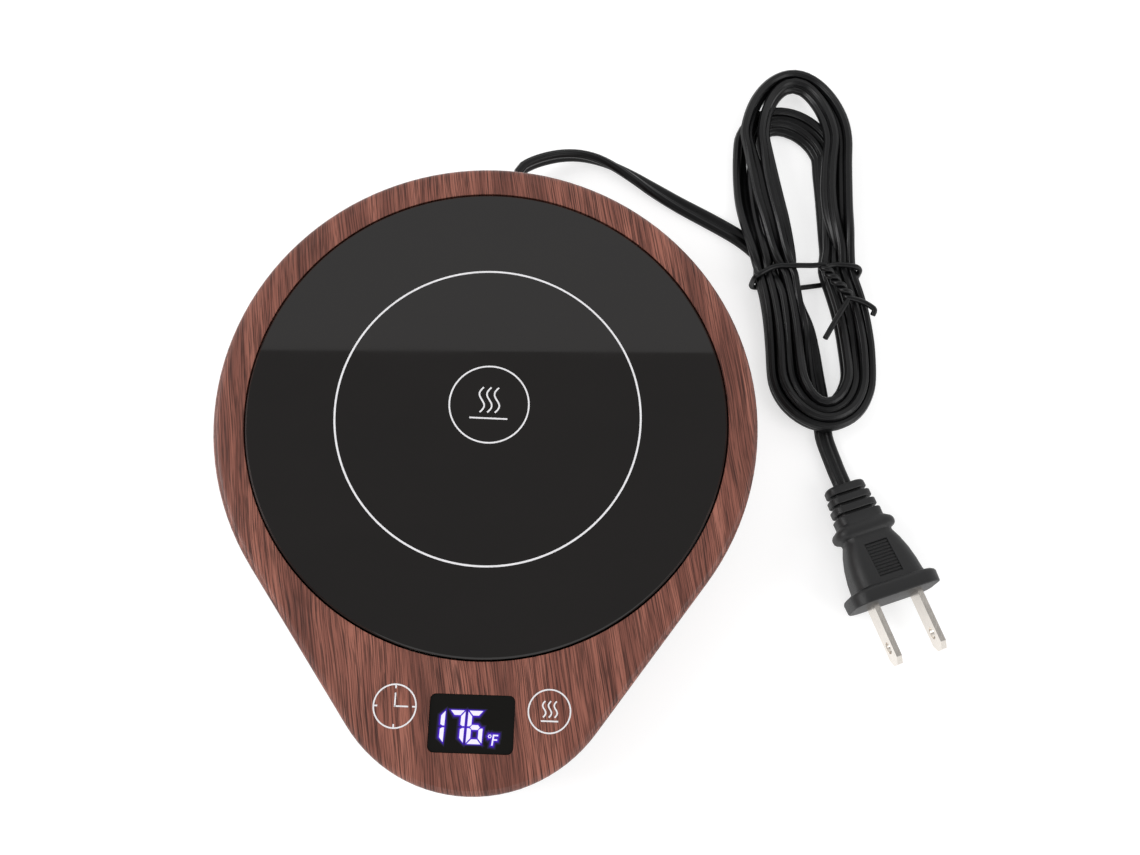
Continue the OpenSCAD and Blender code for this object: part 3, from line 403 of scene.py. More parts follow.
def front_leg(radius, side, rows):
    """The run between the tie and the front bend, at the given rows of y."""
    out = []
    for y in rows:
        t = (y - FRONT_BEND[1]) / (TIE_Y - FRONT_BEND[1])
        x = FRONT_BEND[0] + side * radius + TIE_SHIFT[side] * t * t
        along = y - FRONT_BEND[1] + math.pi * radius / 2
        out.append((x, y, front_height(radius, along, y), ON_EDGE))
    return out


def front_bend(radius):
    """From the left leg, under the bend's centre, to the right leg, on half an ellipse."""
    depth = FRONT_DEPTH[0] + FRONT_DEPTH[1] * radius
    out = []
    for i in range(1, BEND_STEPS):
        a = math.pi + math.pi * i / BEND_STEPS
        along = abs(a - 1.5 * math.pi) * radius
        out.append((
            FRONT_BEND[0] + radius * math.cos(a), FRONT_BEND[1] + depth * math.sin(a),
            front_height(radius, along, FRONT_BEND[1]), ON_EDGE))
    return out


def back_bend(centre, half_w, half_d, skew, rolls, sag=None):
    """From the right leg, over the top, to the left leg, on half an ellipse that narrows
    towards its top, which is pushed sideways by skew. The roll goes from the sides' to
    the top's, and without a sag the cord rests on the table."""
    out = []
    for i in range(BEND_STEPS + 1):
        a = math.pi * i / BEND_STEPS
        rise = math.sin(a)
        roll = rolls[0] + (rolls[1] - rolls[0]) * rise
        z = resting(roll) if sag is None else HIGH_Z - sag * smooth_step(rise)
        out.append((
            centre[0] + half_w * (1 - BACK_NARROW * rise) * math.cos(a) + skew * rise,
            centre[1] + half_d * rise, z, roll))
    return out


# The legs between the tie and the back bends, for each turn in the order of travel: from
# the tie out on the right, and back to it on the left
RIGHT_LEGS = [
    [(99, 72, 3.2, 80), *on_table([(99.2, 77, 72), (99.4, 83, 66), (99.6, 90, 58), (99.8, 98, 50)])],
    [(103.1, 72, 5.8, 80), (102.6, 78, 6.9, 66), (102.2, 84, HIGH_Z, 52), (102.2, 91, HIGH_Z, 48),
     (102.4, 100, HIGH_Z, 48)],
    [(97, 72, 3.2, 80), *on_table([(97.1, 77, 74), (97, 83, 66), (96.8, 90, 58), (96.4, 98, 50)])],
    [(100.5, 72, 5.8, 80), (98.9, 78, 7, 68), (97.7, 84, HIGH_Z, 54), (97.3, 91, HIGH_Z, 50),
     (97.9, 100, HIGH_Z, 50)]]
LEFT_LEGS = [
    [(71.7, 96, 2.1, 34), (72.3, 87, 2.4, 32), (73.4, 79, 4.2, 36), (75, 72, 5.2, 44),
     (75.8, 68, 5, 56)],
    [(73.9, 103, HIGH_Z, 40), (75.5, 96, HIGH_Z, 26), (77, 88, HIGH_Z, 24), (79.1, 80, 7, 28),
     (81.2, 72, 5.8, 40), (82.4, 68, 5.4, 54)],
    [(76, 96, 2.1, 34), (76.7, 88, 2.2, 30), (77.4, 80, 3.6, 34), (78.5, 72, 5.2, 44),
     (79.2, 68, 5, 56)],
    [(78.7, 103, HIGH_Z, 42), (79.8, 96, HIGH_Z, 28), (81.4, 88, HIGH_Z, 24), (83.2, 80, 7, 28),
     (85, 72, 5.8, 38), (85.8, 68, 5.4, 52)]]
BACK_BENDS = [
    back_bend((85.9, 104.7), 14.3, 13.3, -1.5, (46, 42)),
    back_bend((87.8, 108), 14.9, 22.1, 0.6, (48, 66), 2.4),
    back_bend((86.2, 104.7), 9.8, 9.2, -2.5, (46, 44)),
    back_bend((88.4, 108), 10.4, 19.3, 0, (50, 66), 2.4)]


def hank_rows():
    """The four turns, each down from the tie, round the front, back up and over. The
    lead leads into the first turn and the tail starts at the last one's end."""
    rows = []
    for radius, right, bend, left in zip(FRONT_RADII, RIGHT_LEGS, BACK_BENDS, LEFT_LEGS):
        if rows:
            rows.append((tie_station(radius, -1), TIE_Y, TIE_Z, ON_EDGE))
        rows += front_leg(radius, -1, LEG_ROWS)
        rows += front_bend(radius)
        rows += front_leg(radius, 1, LEG_ROWS[::-1])
        rows.append((tie_station(radius, 1), TIE_Y + TIE_SLANT, TIE_Z, ON_EDGE))
        rows += right + bend + left
    rows.append((LAST_X, TIE_Y, TIE_Z, ON_EDGE))
    return rows


def twin_section():
    """The flat cord's outline: a finely ribbed and a plain round core side by side,
    joined by a thinner web."""
    r = CORD_T / 2
    middle = (CORD_W - CORD_T) / 2
    reach = math.pi - math.asin(CORD_WEB / 2 / r)
    out = []
    for i in range(2 * RIBBED_STEPS + 1):
        a = reach * (i / RIBBED_STEPS - 1)
        ribbed = r + CORD_RIB_H * math.cos(CORD_RIBS * a)
        out.append((middle + ribbed * math.cos(a), ribbed * math.sin(a)))
    for i in range(2 * PLAIN_STEPS + 1):
        a = reach * (i / PLAIN_STEPS - 1)
        out.append((-middle - r * math.cos(a), -r * math.sin(a)))
    return out


cord_rows = catmull([*LEAD_ROUTE, *hank_rows(), *TAIL_ROUTE], CORD_STEP)
cord = mesh_piece("cord", *sweep(cord_rows, twin_section()))
tidy_normals(cord)
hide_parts("cord_lead", "cord_hank", "cord_tail")


# ---- the twist tie ----

def tie_strand(half):
    """One strand of the tie's twist, half a turn away from the other."""
    start, end = (Vector(p) for p in TIE_TWIST)
    along = end - start
    side = along.cross(Vector((0, 0, 1))).normalized()
    steps = TWIST_STEPS * TIE_TWIST_TURNS
    out = []
    for i in range(steps + 1):
        a = math.pi * half + 2 * math.pi * TIE_TWIST_TURNS * i / steps
        off = (side * math.cos(a) + Vector((0, 0, 1)) * math.sin(a)) * TIE_WIRE / 2
        out.append(tuple(start + along * i / steps + off))
    return out


tie_line = [
    *TIE_ENDS[0][::-1], *tie_strand(1)[::-1], *TIE_LOOP, *tie_strand(0), *TIE_ENDS[1]]
tie_rows = catmull([(*p, 0) for p in tie_line], TIE_STEP)
tie = mesh_piece("twist_tie_wire", *sweep(tie_rows, circle_line((0, 0), TIE_WIRE / 2, TIE_SIDES)))
tidy_normals(tie)
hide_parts("twist_tie")


# ---- the plug ----

# It lies on the table on its wide face's edge and its strain relief's end
plug_pitch = math.atan2((PLUG_FACE[1] - RELIEF_SIZE[1]) / 2, PLUG_L - FRONT_FLANGE_T)
plug_z = RELIEF_SIZE[1] / 2 * math.cos(plug_pitch)
ON_PLUG = (
    Matrix.Translation(Vector((*PLUG_AT, plug_z)))
    @ Matrix.Rotation(math.radians(PLUG_HEADING), 4, "Z")
    @ Matrix.Rotation(plug_pitch, 4, "X"))


def placed(points, matrix):
    return [matrix @ Vector(p) for p in points]


def rounded_ring(width, height, corner, per_corner=7):
    """Points round a rounded rectangle, as (across, up)."""
    corner = min(corner, width / 2 - 0.01, height / 2 - 0.01)
    out = []
    for quarter in range(4):
        sx = 1 if quarter in (0, 3) else -1
        sy = 1 if quarter < 2 else -1
        for k in range(per_corner):
            a = math.pi / 2 * (quarter + k / (per_corner - 1))
            out.append((
                sx * (width / 2 - corner) + corner * math.cos(a),
                sy * (height / 2 - corner) + corner * math.sin(a)))
    return out


def lofted(stations):
    """Points and faces of a closed solid through stations of y, width, height, corner."""
    rings = [
        [(x, y, z) for x, z in rounded_ring(width, height, corner)]
        for y, width, height, corner in stations]
    points = [p for ring in rings for p in ring]
    n = len(rings[0])
    ends = [tuple(range(n)), tuple(range(len(points) - n, len(points)))[::-1]]
    return points, side_faces(n, len(rings)) + ends


def relief_stations():
    """The strain relief, which widens from slot to slot."""
    w, h = RELIEF_SIZE
    out = [(0, w - 1.8, h - 1.6, 2.2), (0.25, w - 0.7, h - 0.6, 2.4), (0.7, w - 0.1, h - 0.05, 2.6)]
    for i in range(RELIEF_SLOTS):
        y = SLOT_FROM + i * SLOT_PITCH
        after = [a + (b - a) * (i + 1) / RELIEF_SLOTS for a, b in zip(RELIEF_SIZE, RELIEF_END)]
        out += [
            (y - 0.25, w, h, 2.6), (y - 0.03, w - 0.3, h - 0.25, 2.5), (y, w - 3, h - 2.6, 1.6),
            (y + SLOT_W, w - 3, h - 2.6, 1.6),
            (y + SLOT_W + 0.03, after[0] - 0.3, after[1] - 0.25, 2.5),
            (y + SLOT_W + 0.25, *after, 2.6)]
        w, h = after
    return out


def plug_stations():
    """The moulded plug: its relief, a rear flange, the gripped body and the front flange."""
    out = relief_stations()
    y, w, h = RELIEF_L, *REAR_FLANGE
    out += [
        (y - 0.5, *RELIEF_END, 2.8), (y, w - 2.9, h - 1.3, 3), (y + 0.6, w - 1.1, h - 0.5, 3.2),
        (y + 1.3, w - 0.2, h - 0.1, 3.4), (y + 2, w, h, 3.4), (y + 2.7, w - 0.3, h - 0.1, 3.4),
        (y + 3.2, w - 1.2, h - 0.4, 3.3), (y + REAR_FLANGE_T, w - 2.5, h - 0.8, 3.2),
        (y + 3.8, 14, 9.2, 3), (y + 4.5, 13.8, 9.4, 3.1), (y + 5.2, 14.4, 9.7, 3.2),
        (y + 7, 15.9, 10.4, 3.4), (y + 10.5, 17.9, 11.4, 3.7), (y + 14, 19, 12.4, 3.9),
        (y + 17, 19.4, 13.2, 4)]
    y, w, h = PLUG_L - FRONT_FLANGE_T, *PLUG_FACE
    out += [
        (y - 0.3, 19.7, 13.4, 4), (y - 0.05, 20.8, 13.8, 4.2), (y + 0.1, 23.1, 14.6, 4.4),
        (y + 0.5, w - 0.5, h - 0.3, 4.5), (y + 1.1, w, h, 4.5), (y + 3.7, w - 0.2, h - 0.2, 4.5),
        (y + 3.95, w - 0.5, h - 0.5, 4.4), (y + 4, w - 0.9, h - 0.9, 4.3)]
    return out


def half_height(y):
    """Half the plug's height at y, between two of its stations."""
    stations = plug_stations()
    before, after = next((a, b) for a, b in zip(stations, stations[1:]) if a[0] <= y <= b[0])
    return (before[2] + (after[2] - before[2]) * (y - before[0]) / (after[0] - before[0])) / 2


def grip_cutter(face_side):
    """The block that sinks a grip into the plug's upper or lower side."""
    past = 2
    corners = []
    for y in (GRIP_FROM, GRIP_TO):
        z = half_height(y)
        for x in (-GRIP_HALF_W, GRIP_HALF_W):
            corners += [(x, y, face_side * (z - GRIP_DEPTH)), (x, y, face_side * (z + past))]
    faces = [(0, 1, 3, 2), (4, 6, 7, 5), (0, 4, 5, 1), (2, 3, 7, 6), (0, 2, 6, 4), (1, 5, 7, 3)]
    cutter = mesh_piece("grip_cut", placed(corners, ON_PLUG), faces)
    tidy_normals(cutter)
    return cutter


def grip_rib(y, face_side):
    """Points and faces of one rib across a grip."""
    z = half_height(y)
    n = len(RIB_SECTION)
    points = []
    for x in (RIB_END_GAP - GRIP_HALF_W, GRIP_HALF_W - RIB_END_GAP):
        points += [(x, y + along, face_side * (z + (up - GRIP_DEPTH))) for along, up in RIB_SECTION]
    faces = [(j, (j + 1) % n, n + (j + 1) % n, n + j) for j in range(n)]
    return points, [*faces, tuple(range(n)), tuple(range(n, 2 * n))[::-1]]


plug_points, plug_faces = lofted(plug_stations())
plug = mesh_piece("plug_moulding", placed(plug_points, ON_PLUG), plug_faces)
tidy_normals(plug)
for face_side in (1, -1):
    cut_out(plug, grip_cutter(face_side))
sharpen(plug, PLUG_SHARP_ANGLE)
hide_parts("plug_body")

rib_pitch = (GRIP_TO - GRIP_FROM) / (GRIP_RIBS + 0.5)
rib_points, rib_faces = joined([
    grip_rib(GRIP_FROM + rib_pitch * (i + 0.75), face_side)
    for face_side in (1, -1) for i in range(GRIP_RIBS)])
ribs = mesh_piece("plug_grip_ribs", placed(rib_points, ON_PLUG), rib_faces, smooth=False)
tidy_normals(ribs)


# ---- prints ----

def flat_line(points, width, z, closed=False):
    """Points and faces of a thin raised stroke of constant width along 2-D points."""
    out, faces = [], []
    n = len(points)
    for i, p in enumerate(points):
        before = points[i - 1] if closed or i else points[i]
        after = points[(i + 1) % n] if closed or i < n - 1 else points[i]
        along = (Vector(after) - Vector(before)).normalized()
        side = Vector((-along.y, along.x)) * width / 2
        for s in (-1, 1):
            x, y = p[0] + s * side.x, p[1] + s * side.y
            out += [(x, y, z - PRINT_SINK), (x, y, z + PRINT_T)]
    for i in range(n if closed else n - 1):
        a, b = 4 * i, 4 * ((i + 1) % n)
        faces += [
            (a + 1, a + 3, b + 3, b + 1), (a, b, b + 2, a + 2),
            (a, a + 1, b + 1, b), (a + 2, b + 2, b + 3, a + 3)]
    if not closed:
        faces += [(0, 2, 3, 1), (4 * n - 4, 4 * n - 3, 4 * n - 1, 4 * n - 2)]
    return out, faces


def heat_mark(centre, wave_h, pitch, bar_w, width, z):
    """Three rising waves over a bar, the usual sign for heat."""
    parts = []
    for k in (-1, 0, 1):
        wave = []
        for i in range(WAVE_STEPS + 1):
            t = i / WAVE_STEPS
            swing = wave_h * (WAVE_SWING * math.sin(2 * math.pi * t) + WAVE_LEAN * (t - 0.5) ** 3)
            wave.append((centre[0] + k * pitch + swing, centre[1] + wave_h * (t - 0.5)))
        parts.append(flat_line(wave, width, z))
    y = centre[1] - BAR_DROP * wave_h
    parts.append(flat_line([(centre[0] - bar_w / 2, y), (centre[0] + bar_w / 2, y)], width, z))
    return parts


def clock_mark(centre, z):
    """A clock at three: a ring, four ticks and two hands."""
    x, y = centre
    parts = [flat_line(circle_line(centre, KEY_R), KEY_MARK_W, z, closed=True)]
    for quarter in range(4):
        a = math.pi / 2 * quarter
        tick = [(x + (KEY_R - r) * math.cos(a), y + (KEY_R - r) * math.sin(a)) for r in TICK]
        parts.append(flat_line(tick, KEY_MARK_W, z))
    parts.append(flat_line([(x, y + HAND_UP), (x, y - HAND_LAP)], KEY_MARK_W, z))
    parts.append(flat_line([(x, y), (x + HAND_ACROSS, y)], KEY_MARK_W, z))
    return parts


glass_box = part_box("glass_plate")
glass_top = glass_box[1].z / MM
disc_y = (glass_box[0].y + glass_box[1].y) / 2 / MM
plate_print = mesh_piece("plate_print", *joined([
    flat_line(circle_line((0, disc_y), RING_R, 256), RING_W, glass_top, closed=True),
    flat_line(circle_line((0, disc_y + SIGN_RING_Y), SIGN_RING_R), MARK_W, glass_top, closed=True),
    *heat_mark(
        (0, disc_y + SIGN_WAVE_Y), wave_h=6.9, pitch=2.0, bar_w=10, width=MARK_W, z=glass_top),
]), body="plate", smooth=False)
tidy_normals(plate_print)

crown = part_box("top_housing")[1].z / MM
key_x, key_y = KEY_AT
key_print = mesh_piece("key_print", *joined([
    *clock_mark((-key_x, key_y), crown),
    flat_line(circle_line((key_x, key_y), KEY_R), KEY_MARK_W, crown, closed=True),
    *heat_mark(
        (key_x + KEY_WAVE_OFF[0], key_y + KEY_WAVE_OFF[1]), wave_h=3.9, pitch=1.42, bar_w=4.3,
        width=KEY_MARK_W, z=crown),
]), smooth=False)
tidy_normals(key_print)


# ---- the lit display ----

def flipped(outline, across, upright):
    """An outline of the digit, turned over to its other half."""
    return [(DIGIT_W - x if across else x, DIGIT_H - y if upright else y) for x, y in outline]


def bar_outlines():
    """The outlines of a digit's seven bars, by their usual letters."""
    w, h, s, t, gap = DIGIT_W, DIGIT_H, BAR_W / 2, BAR_H / 2, BAR_GAP
    top = [(gap - s, h + t), (w + s - gap, h + t), (w - s - gap, h - t), (s + gap, h - t)]
    right = [
        (w - s, h - t - gap), (w + s, h + t - gap), (w + s, h / 2 + gap), (w, h / 2 + gap),
        (w - s, h / 2 + t)]
    middle = [
        (gap, h / 2), (s + gap, h / 2 + t), (w - s - gap, h / 2 + t), (w - gap, h / 2),
        (w - s - gap, h / 2 - t), (s + gap, h / 2 - t)]
    return {
        "a": top, "b": right, "c": flipped(right, False, True), "d": flipped(top, False, True),
        "e": flipped(right, True, True), "f": flipped(right, True, False), "g": middle}


def digit_outlines():
    """The lit bars of the number, measured from the window's middle."""
    shapes = bar_outlines()
    foot = DIGIT_Y - DIGIT_H / 2
    return [
        [Vector((x0 + x, foot + y)) for x, y in shapes[bar]]
        for x0, digit in zip(DIGIT_X, NUMBER) for bar in LIT[digit]]


def unit_outlines():
    """The strokes of the unit, which stands on the digits' foot."""
    foot = Vector((UNIT_X, DIGIT_Y - DIGIT_H / 2 - BAR_H / 2))
    lower_y = LOWER_ARM_AT * UNIT_H
    strokes = [
        ((0, 0), (UNIT_LEAN, UNIT_H), STEM_W), ((UNIT_LEAN, UNIT_H), (UPPER_ARM_TO, UNIT_H), ARM_W),
        ((UNIT_LEAN / 2, lower_y), (LOWER_ARM_TO, lower_y), ARM_W)]
    corners = circle_line(DEGREE_AT, DEGREE_R, DEGREE_SIDES)
    strokes += [(p, q, DEGREE_LINE) for p, q in zip(corners, [*corners[1:], corners[0]])]
    out = []
    for start, end, width in strokes:
        start, end = Vector(start), Vector(end)
        along = (end - start).normalized() * width / 2
        side = Vector((-along.y, along.x))
        start, end = start - along, end + along
        out.append([foot + p for p in (start - side, end - side, end + side, start + side)])
    return out


def outset(outline, reach):
    """The outline grown by reach on every side, its sharp corners blunted."""
    n = len(outline)
    turn = sum(outline[k - 1].cross(outline[k]) for k in range(n))
    out = []
    for k, p in enumerate(outline):
        before = (p - outline[k - 1]).normalized()
        after = (outline[(k + 1) % n] - p).normalized()
        away = Vector((before.y + after.y, -before.x - after.x)) * math.copysign(1, turn)
        out.append(p + away * min(reach / (1 + before.dot(after)), reach * CORNER_REACH / away.length))
    return out


lens_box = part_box("display_window")
lens_top = lens_box[1].z / MM
lens_middle = (lens_box[0] + lens_box[1]) / 2 / MM


def lens_points(outline, up):
    """The outline's points over the lens, slanted like the digits."""
    return [
        (lens_middle.x + p.x + DIGIT_SLANT * p.y, lens_middle.y + p.y, lens_top + up)
        for p in outline]


def lit_mesh(shapes):
    """Points and faces of the lit shapes."""
    return joined([(lens_points(shape, LIT_UP), [tuple(range(len(shape)))]) for shape in shapes])


def halo_mesh(shape):
    """Points and faces of one shape's halo: its bands, and the shape itself."""
    n = len(shape)
    points, faces = [], []
    for band, (reach, _) in enumerate(GLOW_BANDS):
        points += lens_points(outset(shape, reach), GLOW_UP - GLOW_FALL * band)
        if band:
            a, b = (band - 1) * n, band * n
            faces += [(a + k, b + k, b + (k + 1) % n, a + (k + 1) % n) for k in range(n)]
    return points, [*faces, tuple(range(n))]


lit_shapes = digit_outlines() + unit_outlines()
digits = mesh_piece("lit_number", *lit_mesh(lit_shapes), smooth=False)
glow = mesh_piece("lit_number_glow", *joined([halo_mesh(s) for s in lit_shapes]), smooth=False)
glow_level = glow.data.attributes.new("glow_level", "FLOAT", "POINT")
levels = [level for shape in lit_shapes for _, level in GLOW_BANDS for _ in shape]
for item, value in zip(glow_level.data, levels):
    item.value = value


# ---- materials, with sizes in millimetres ----

GRAIN_LEAN = math.radians(-10)
GRAIN_DRIFT = 6.0
# Where the Mix node keeps its colour sockets
MIX_SHARE, MIX_FIRST, MIX_SECOND, MIX_RESULT = 0, 6, 7, 2


def srgb(r, g, b):
    """A colour as it looks on screen, 0 to 255, as the linear value."""
    return tuple(
        (v / 255 / 12.92) if v / 255 <= 0.04045 else ((v / 255 + 0.055) / 1.055) ** 2.4
        for v in (r, g, b))


def times(colour, factor):
    return tuple(min(1.0, c * factor) for c in colour)


def new_material(name):
    made = bpy.data.materials.new(name)
    made.use_nodes = True
    nodes = made.node_tree.nodes
    return made, nodes, made.node_tree.links, nodes["Principled BSDF"]


def set_inputs(node, **values):
    for key, value in values.items():
        node.inputs[key.replace("_", " ")].default_value = value


def feed(links, socket, value):
    """Gives a socket another node's output, a colour or a number."""
    if isinstance(value, bpy.types.NodeSocket):
        links.new(value, socket)
    elif isinstance(value, tuple):
        socket.default_value = (*value, 1)
    else:
        socket.default_value = value


def maths(nodes, links, operation, *values, clamped=False):
    """The result of one operation on other nodes' outputs and plain numbers."""
    made = nodes.new("ShaderNodeMath")
    made.operation = operation
    made.use_clamp = clamped
    for socket, value in zip(made.inputs, values):
        feed(links, socket, value)
    return made.outputs[0]


def noise(nodes, links, vector, sizes, detail, roughness=0.55):
    """Noise whose cells have the given sizes along the vector's three axes."""
    scaled = nodes.new("ShaderNodeMapping")
    set_inputs(scaled, Scale=tuple(1 / (s * MM) for s in sizes))
    links.new(vector, scaled.inputs["Vector"])
    made = nodes.new("ShaderNodeTexNoise")
    set_inputs(made, Scale=1.0, Detail=detail, Roughness=roughness)
    links.new(scaled.outputs["Vector"], made.inputs["Vector"])
    return made.outputs["Fac"]


def spots(nodes, links, size, detail):
    """Noise in the object's own coordinates, with cells of one size or one per axis."""
    source = nodes.new("ShaderNodeTexCoord")
    sizes = size if isinstance(size, tuple) else (size,) * 3
    return noise(nodes, links, source.outputs["Object"], sizes, detail)


def ramp(nodes, links, value, stops):
    """A colour that follows the value, through stops of (value, colour or grey)."""
    made = nodes.new("ShaderNodeValToRGB")
    stops = sorted(stops)
    while len(made.color_ramp.elements) < len(stops):
        made.color_ramp.elements.new(0.5)
    for element, (at, colour) in zip(made.color_ramp.elements, stops):
        element.position = at
        element.color = (*colour, 1) if isinstance(colour, tuple) else (colour, colour, colour, 1)
    links.new(value, made.inputs["Fac"])
    return made.outputs["Color"]


def mixed(nodes, links, share, first, second, blend="MIX"):
    made = nodes.new("ShaderNodeMix")
    made.data_type = "RGBA"
    made.blend_type = blend
    feed(links, made.inputs[MIX_SHARE], share)
    feed(links, made.inputs[MIX_FIRST], first)
    feed(links, made.inputs[MIX_SECOND], second)
    return made.outputs[MIX_RESULT]


def bumped(nodes, links, shader, height, depth, strength=1.0):
    """Gives the shader a relief that follows the height, so many millimetres deep."""
    made = nodes.new("ShaderNodeBump")
    set_inputs(made, Strength=strength, Distance=depth * MM)
    links.new(height, made.inputs["Height"])
    links.new(made.outputs["Normal"], shader.inputs["Normal"])


def grain_coordinates(nodes, links):
    """The object's coordinates turned to the grain's lean, with a slow sideways drift. On
    the walls that face sideways the grain's width runs along Y instead of X."""
    source = nodes.new("ShaderNodeTexCoord")
    turned = nodes.new("ShaderNodeMapping")
    set_inputs(turned, Rotation=(0, 0, GRAIN_LEAN))
    links.new(source.outputs["Object"], turned.inputs["Vector"])
    facing = nodes.new("ShaderNodeSeparateXYZ")
    links.new(source.outputs["Normal"], facing.inputs[0])
    sideways = maths(nodes, links, "ABSOLUTE", facing.outputs["X"])
    on_wall = ramp(nodes, links, sideways, [(0.6, 0.0), (0.78, 1.0)])
    axes = nodes.new("ShaderNodeSeparateXYZ")
    links.new(turned.outputs["Vector"], axes.inputs[0])
    swapped = nodes.new("ShaderNodeCombineXYZ")
    for taken, given in (("Y", "X"), ("Z", "Y"), ("X", "Z")):
        links.new(axes.outputs[taken], swapped.inputs[given])
    wrapped = mixed(nodes, links, on_wall, turned.outputs["Vector"], swapped.outputs["Vector"])
    drift = noise(nodes, links, turned.outputs["Vector"], (22, 55, 55), 1.5)
    centred = maths(nodes, links, "MULTIPLY_ADD", drift, GRAIN_DRIFT * MM, -GRAIN_DRIFT / 2 * MM)
    side = nodes.new("ShaderNodeCombineXYZ")
    links.new(centred, side.inputs["X"])
    moved = nodes.new("ShaderNodeVectorMath")
    moved.operation = "ADD"
    links.new(wrapped, moved.inputs[0])
    links.new(side.outputs["Vector"], moved.inputs[1])
    return moved.outputs["Vector"]


def wood_film():
    """Red-brown straight-grained wood printed on a satin film: broad bands, fine dark
    streaks and pores along the grain, and a few large darker figures."""
    made, nodes, links, shader = new_material("wood_film")
    place = grain_coordinates(nodes, links)

    def grain(across, along, detail):
        return noise(nodes, links, place, (across, along, along), detail, roughness=0.6)

    bands = ramp(nodes, links, grain(3.2, 60, 2.0), [
        (0.28, srgb(102, 60, 50)), (0.46, srgb(126, 77, 65)), (0.6, srgb(142, 89, 75)),
        (0.76, srgb(154, 100, 86))])
    figure = ramp(nodes, links, grain(15, 70, 1.5), [(0.36, 0.8), (0.5, 1.0)])
    coloured = mixed(nodes, links, 1.0, bands, figure, "MULTIPLY")
    streaks = ramp(nodes, links, grain(0.34, 25, 1.5), [(0.32, 0.0), (0.44, 0.35), (0.54, 1.0)])
    coloured = mixed(nodes, links, streaks, srgb(68, 35, 27), coloured)
    pores = ramp(nodes, links, grain(0.3, 7, 1.5), [(0.36, 0.0), (0.48, 1.0)])
    faint = mixed(nodes, links, 0.5, pores, (1.0, 1.0, 1.0))
    coloured = mixed(nodes, links, 1.0, coloured, faint, "MULTIPLY")
    links.new(coloured, shader.inputs["Base Color"])
    links.new(ramp(nodes, links, streaks, [(0.0, 0.5), (1.0, 0.36)]), shader.inputs["Roughness"])
    set_inputs(shader, Specular_IOR_Level=0.32)
    bumped(nodes, links, shader, pores, 0.02, 0.5)
    return made


def speckled(name, colour, rough, grain, depth, wander=0.12, shine=0.5, patch=20):
    """A plain moulded, cast or woven surface: a fine grain in the relief, and patches
    where colour and sheen wander a little."""
    made, nodes, links, shader = new_material(name)
    slow = spots(nodes, links, patch, 2.0)
    tones = [(0.3, times(colour, 1 - wander)), (0.7, times(colour, 1 + wander))]
    links.new(ramp(nodes, links, slow, tones), shader.inputs["Base Color"])
    fine = spots(nodes, links, grain, 2.5)
    sheen = [(0.3, max(0.02, rough - 0.06)), (0.7, min(1.0, rough + 0.08))]
    links.new(ramp(nodes, links, fine, sheen), shader.inputs["Roughness"])
    set_inputs(shader, Specular_IOR_Level=shine)
    bumped(nodes, links, shader, fine, depth)
    return made


def brushed(name, colour, rough, along="X"):
    """Metal with fine drawn lines along one axis."""
    made, nodes, links, shader = new_material(name)
    line_l, line_w = 6, 0.25
    lines = spots(nodes, links, tuple(line_l if axis == along else line_w for axis in "XYZ"), 3.0)
    tones = [(0.3, times(colour, 0.88)), (0.7, colour)]
    links.new(ramp(nodes, links, lines, tones), shader.inputs["Base Color"])
    sheen = [(0.3, rough * 0.8), (0.7, rough * 1.35)]
    links.new(ramp(nodes, links, lines, sheen), shader.inputs["Roughness"])
    set_inputs(shader, Metallic=1.0)
    bumped(nodes, links, shader, lines, 0.01, 0.4)
    return made


def polished_black(name, colour, rough, shine=0.5):
    """Black glass or acrylic with the faintest haze where it has been wiped."""
    made, nodes, links, shader = new_material(name)
    haze = spots(nodes, links, (30, 12, 30), 3.0)
    sheen = [(0.35, rough), (0.75, rough + 0.03)]
    links.new(ramp(nodes, links, haze, sheen), shader.inputs["Roughness"])
    tones = [(0.3, colour), (0.8, times(colour, 1.25))]
    links.new(ramp(nodes, links, haze, tones), shader.inputs["Base Color"])
    set_inputs(shader, IOR=1.5, Specular_IOR_Level=shine)
    return made


def cord_cover():
    """Satin PVC with a fine grain and a soft uneven shine."""
    made, nodes, links, shader = new_material("cord_cover")
    tones = [(0.3, srgb(9, 9, 10)), (0.7, srgb(14, 14, 15))]
    links.new(ramp(nodes, links, spots(nodes, links, 12, 2.0), tones), shader.inputs["Base Color"])
    fine = spots(nodes, links, 0.7, 3.0)
    links.new(ramp(nodes, links, fine, [(0.3, 0.27), (0.7, 0.37)]), shader.inputs["Roughness"])
    set_inputs(shader, Specular_IOR_Level=0.25)
    bumped(nodes, links, shader, fine, 0.02, 0.6)
    return made


def printed_white():
    """Screen-printed ink, a little uneven."""
    made, nodes, links, shader = new_material("white_ink")
    tones = [(0.3, srgb(206, 205, 207)), (0.7, srgb(218, 217, 219))]
    links.new(ramp(nodes, links, spots(nodes, links, 1.2, 2.0), tones), shader.inputs["Base Color"])
    set_inputs(shader, Roughness=0.5)
    return made


def lit_material(name, colour, strength, attribute=None):
    """Light from behind the lens, as strong as the attribute says where there is one."""
    made, nodes, links, shader = new_material(name)
    set_inputs(
        shader, Roughness=0.12, Base_Color=(*srgb(12, 10, 14), 1), Emission_Strength=strength)
    if attribute:
        level = nodes.new("ShaderNodeAttribute")
        level.attribute_name = attribute
        source = level.outputs["Fac"]
        falls = [(0.0, 0.0), (0.2, 0.12), (0.55, 0.55), (1.0, 1.0)]
        tones = [(at, times(colour, share)) for at, share in falls]
    else:
        source = spots(nodes, links, 0.8, 1.0)
        tones = [(0.3, times(colour, 0.93)), (0.7, colour)]
    links.new(ramp(nodes, links, source, tones), shader.inputs["Emission Color"])
    return made


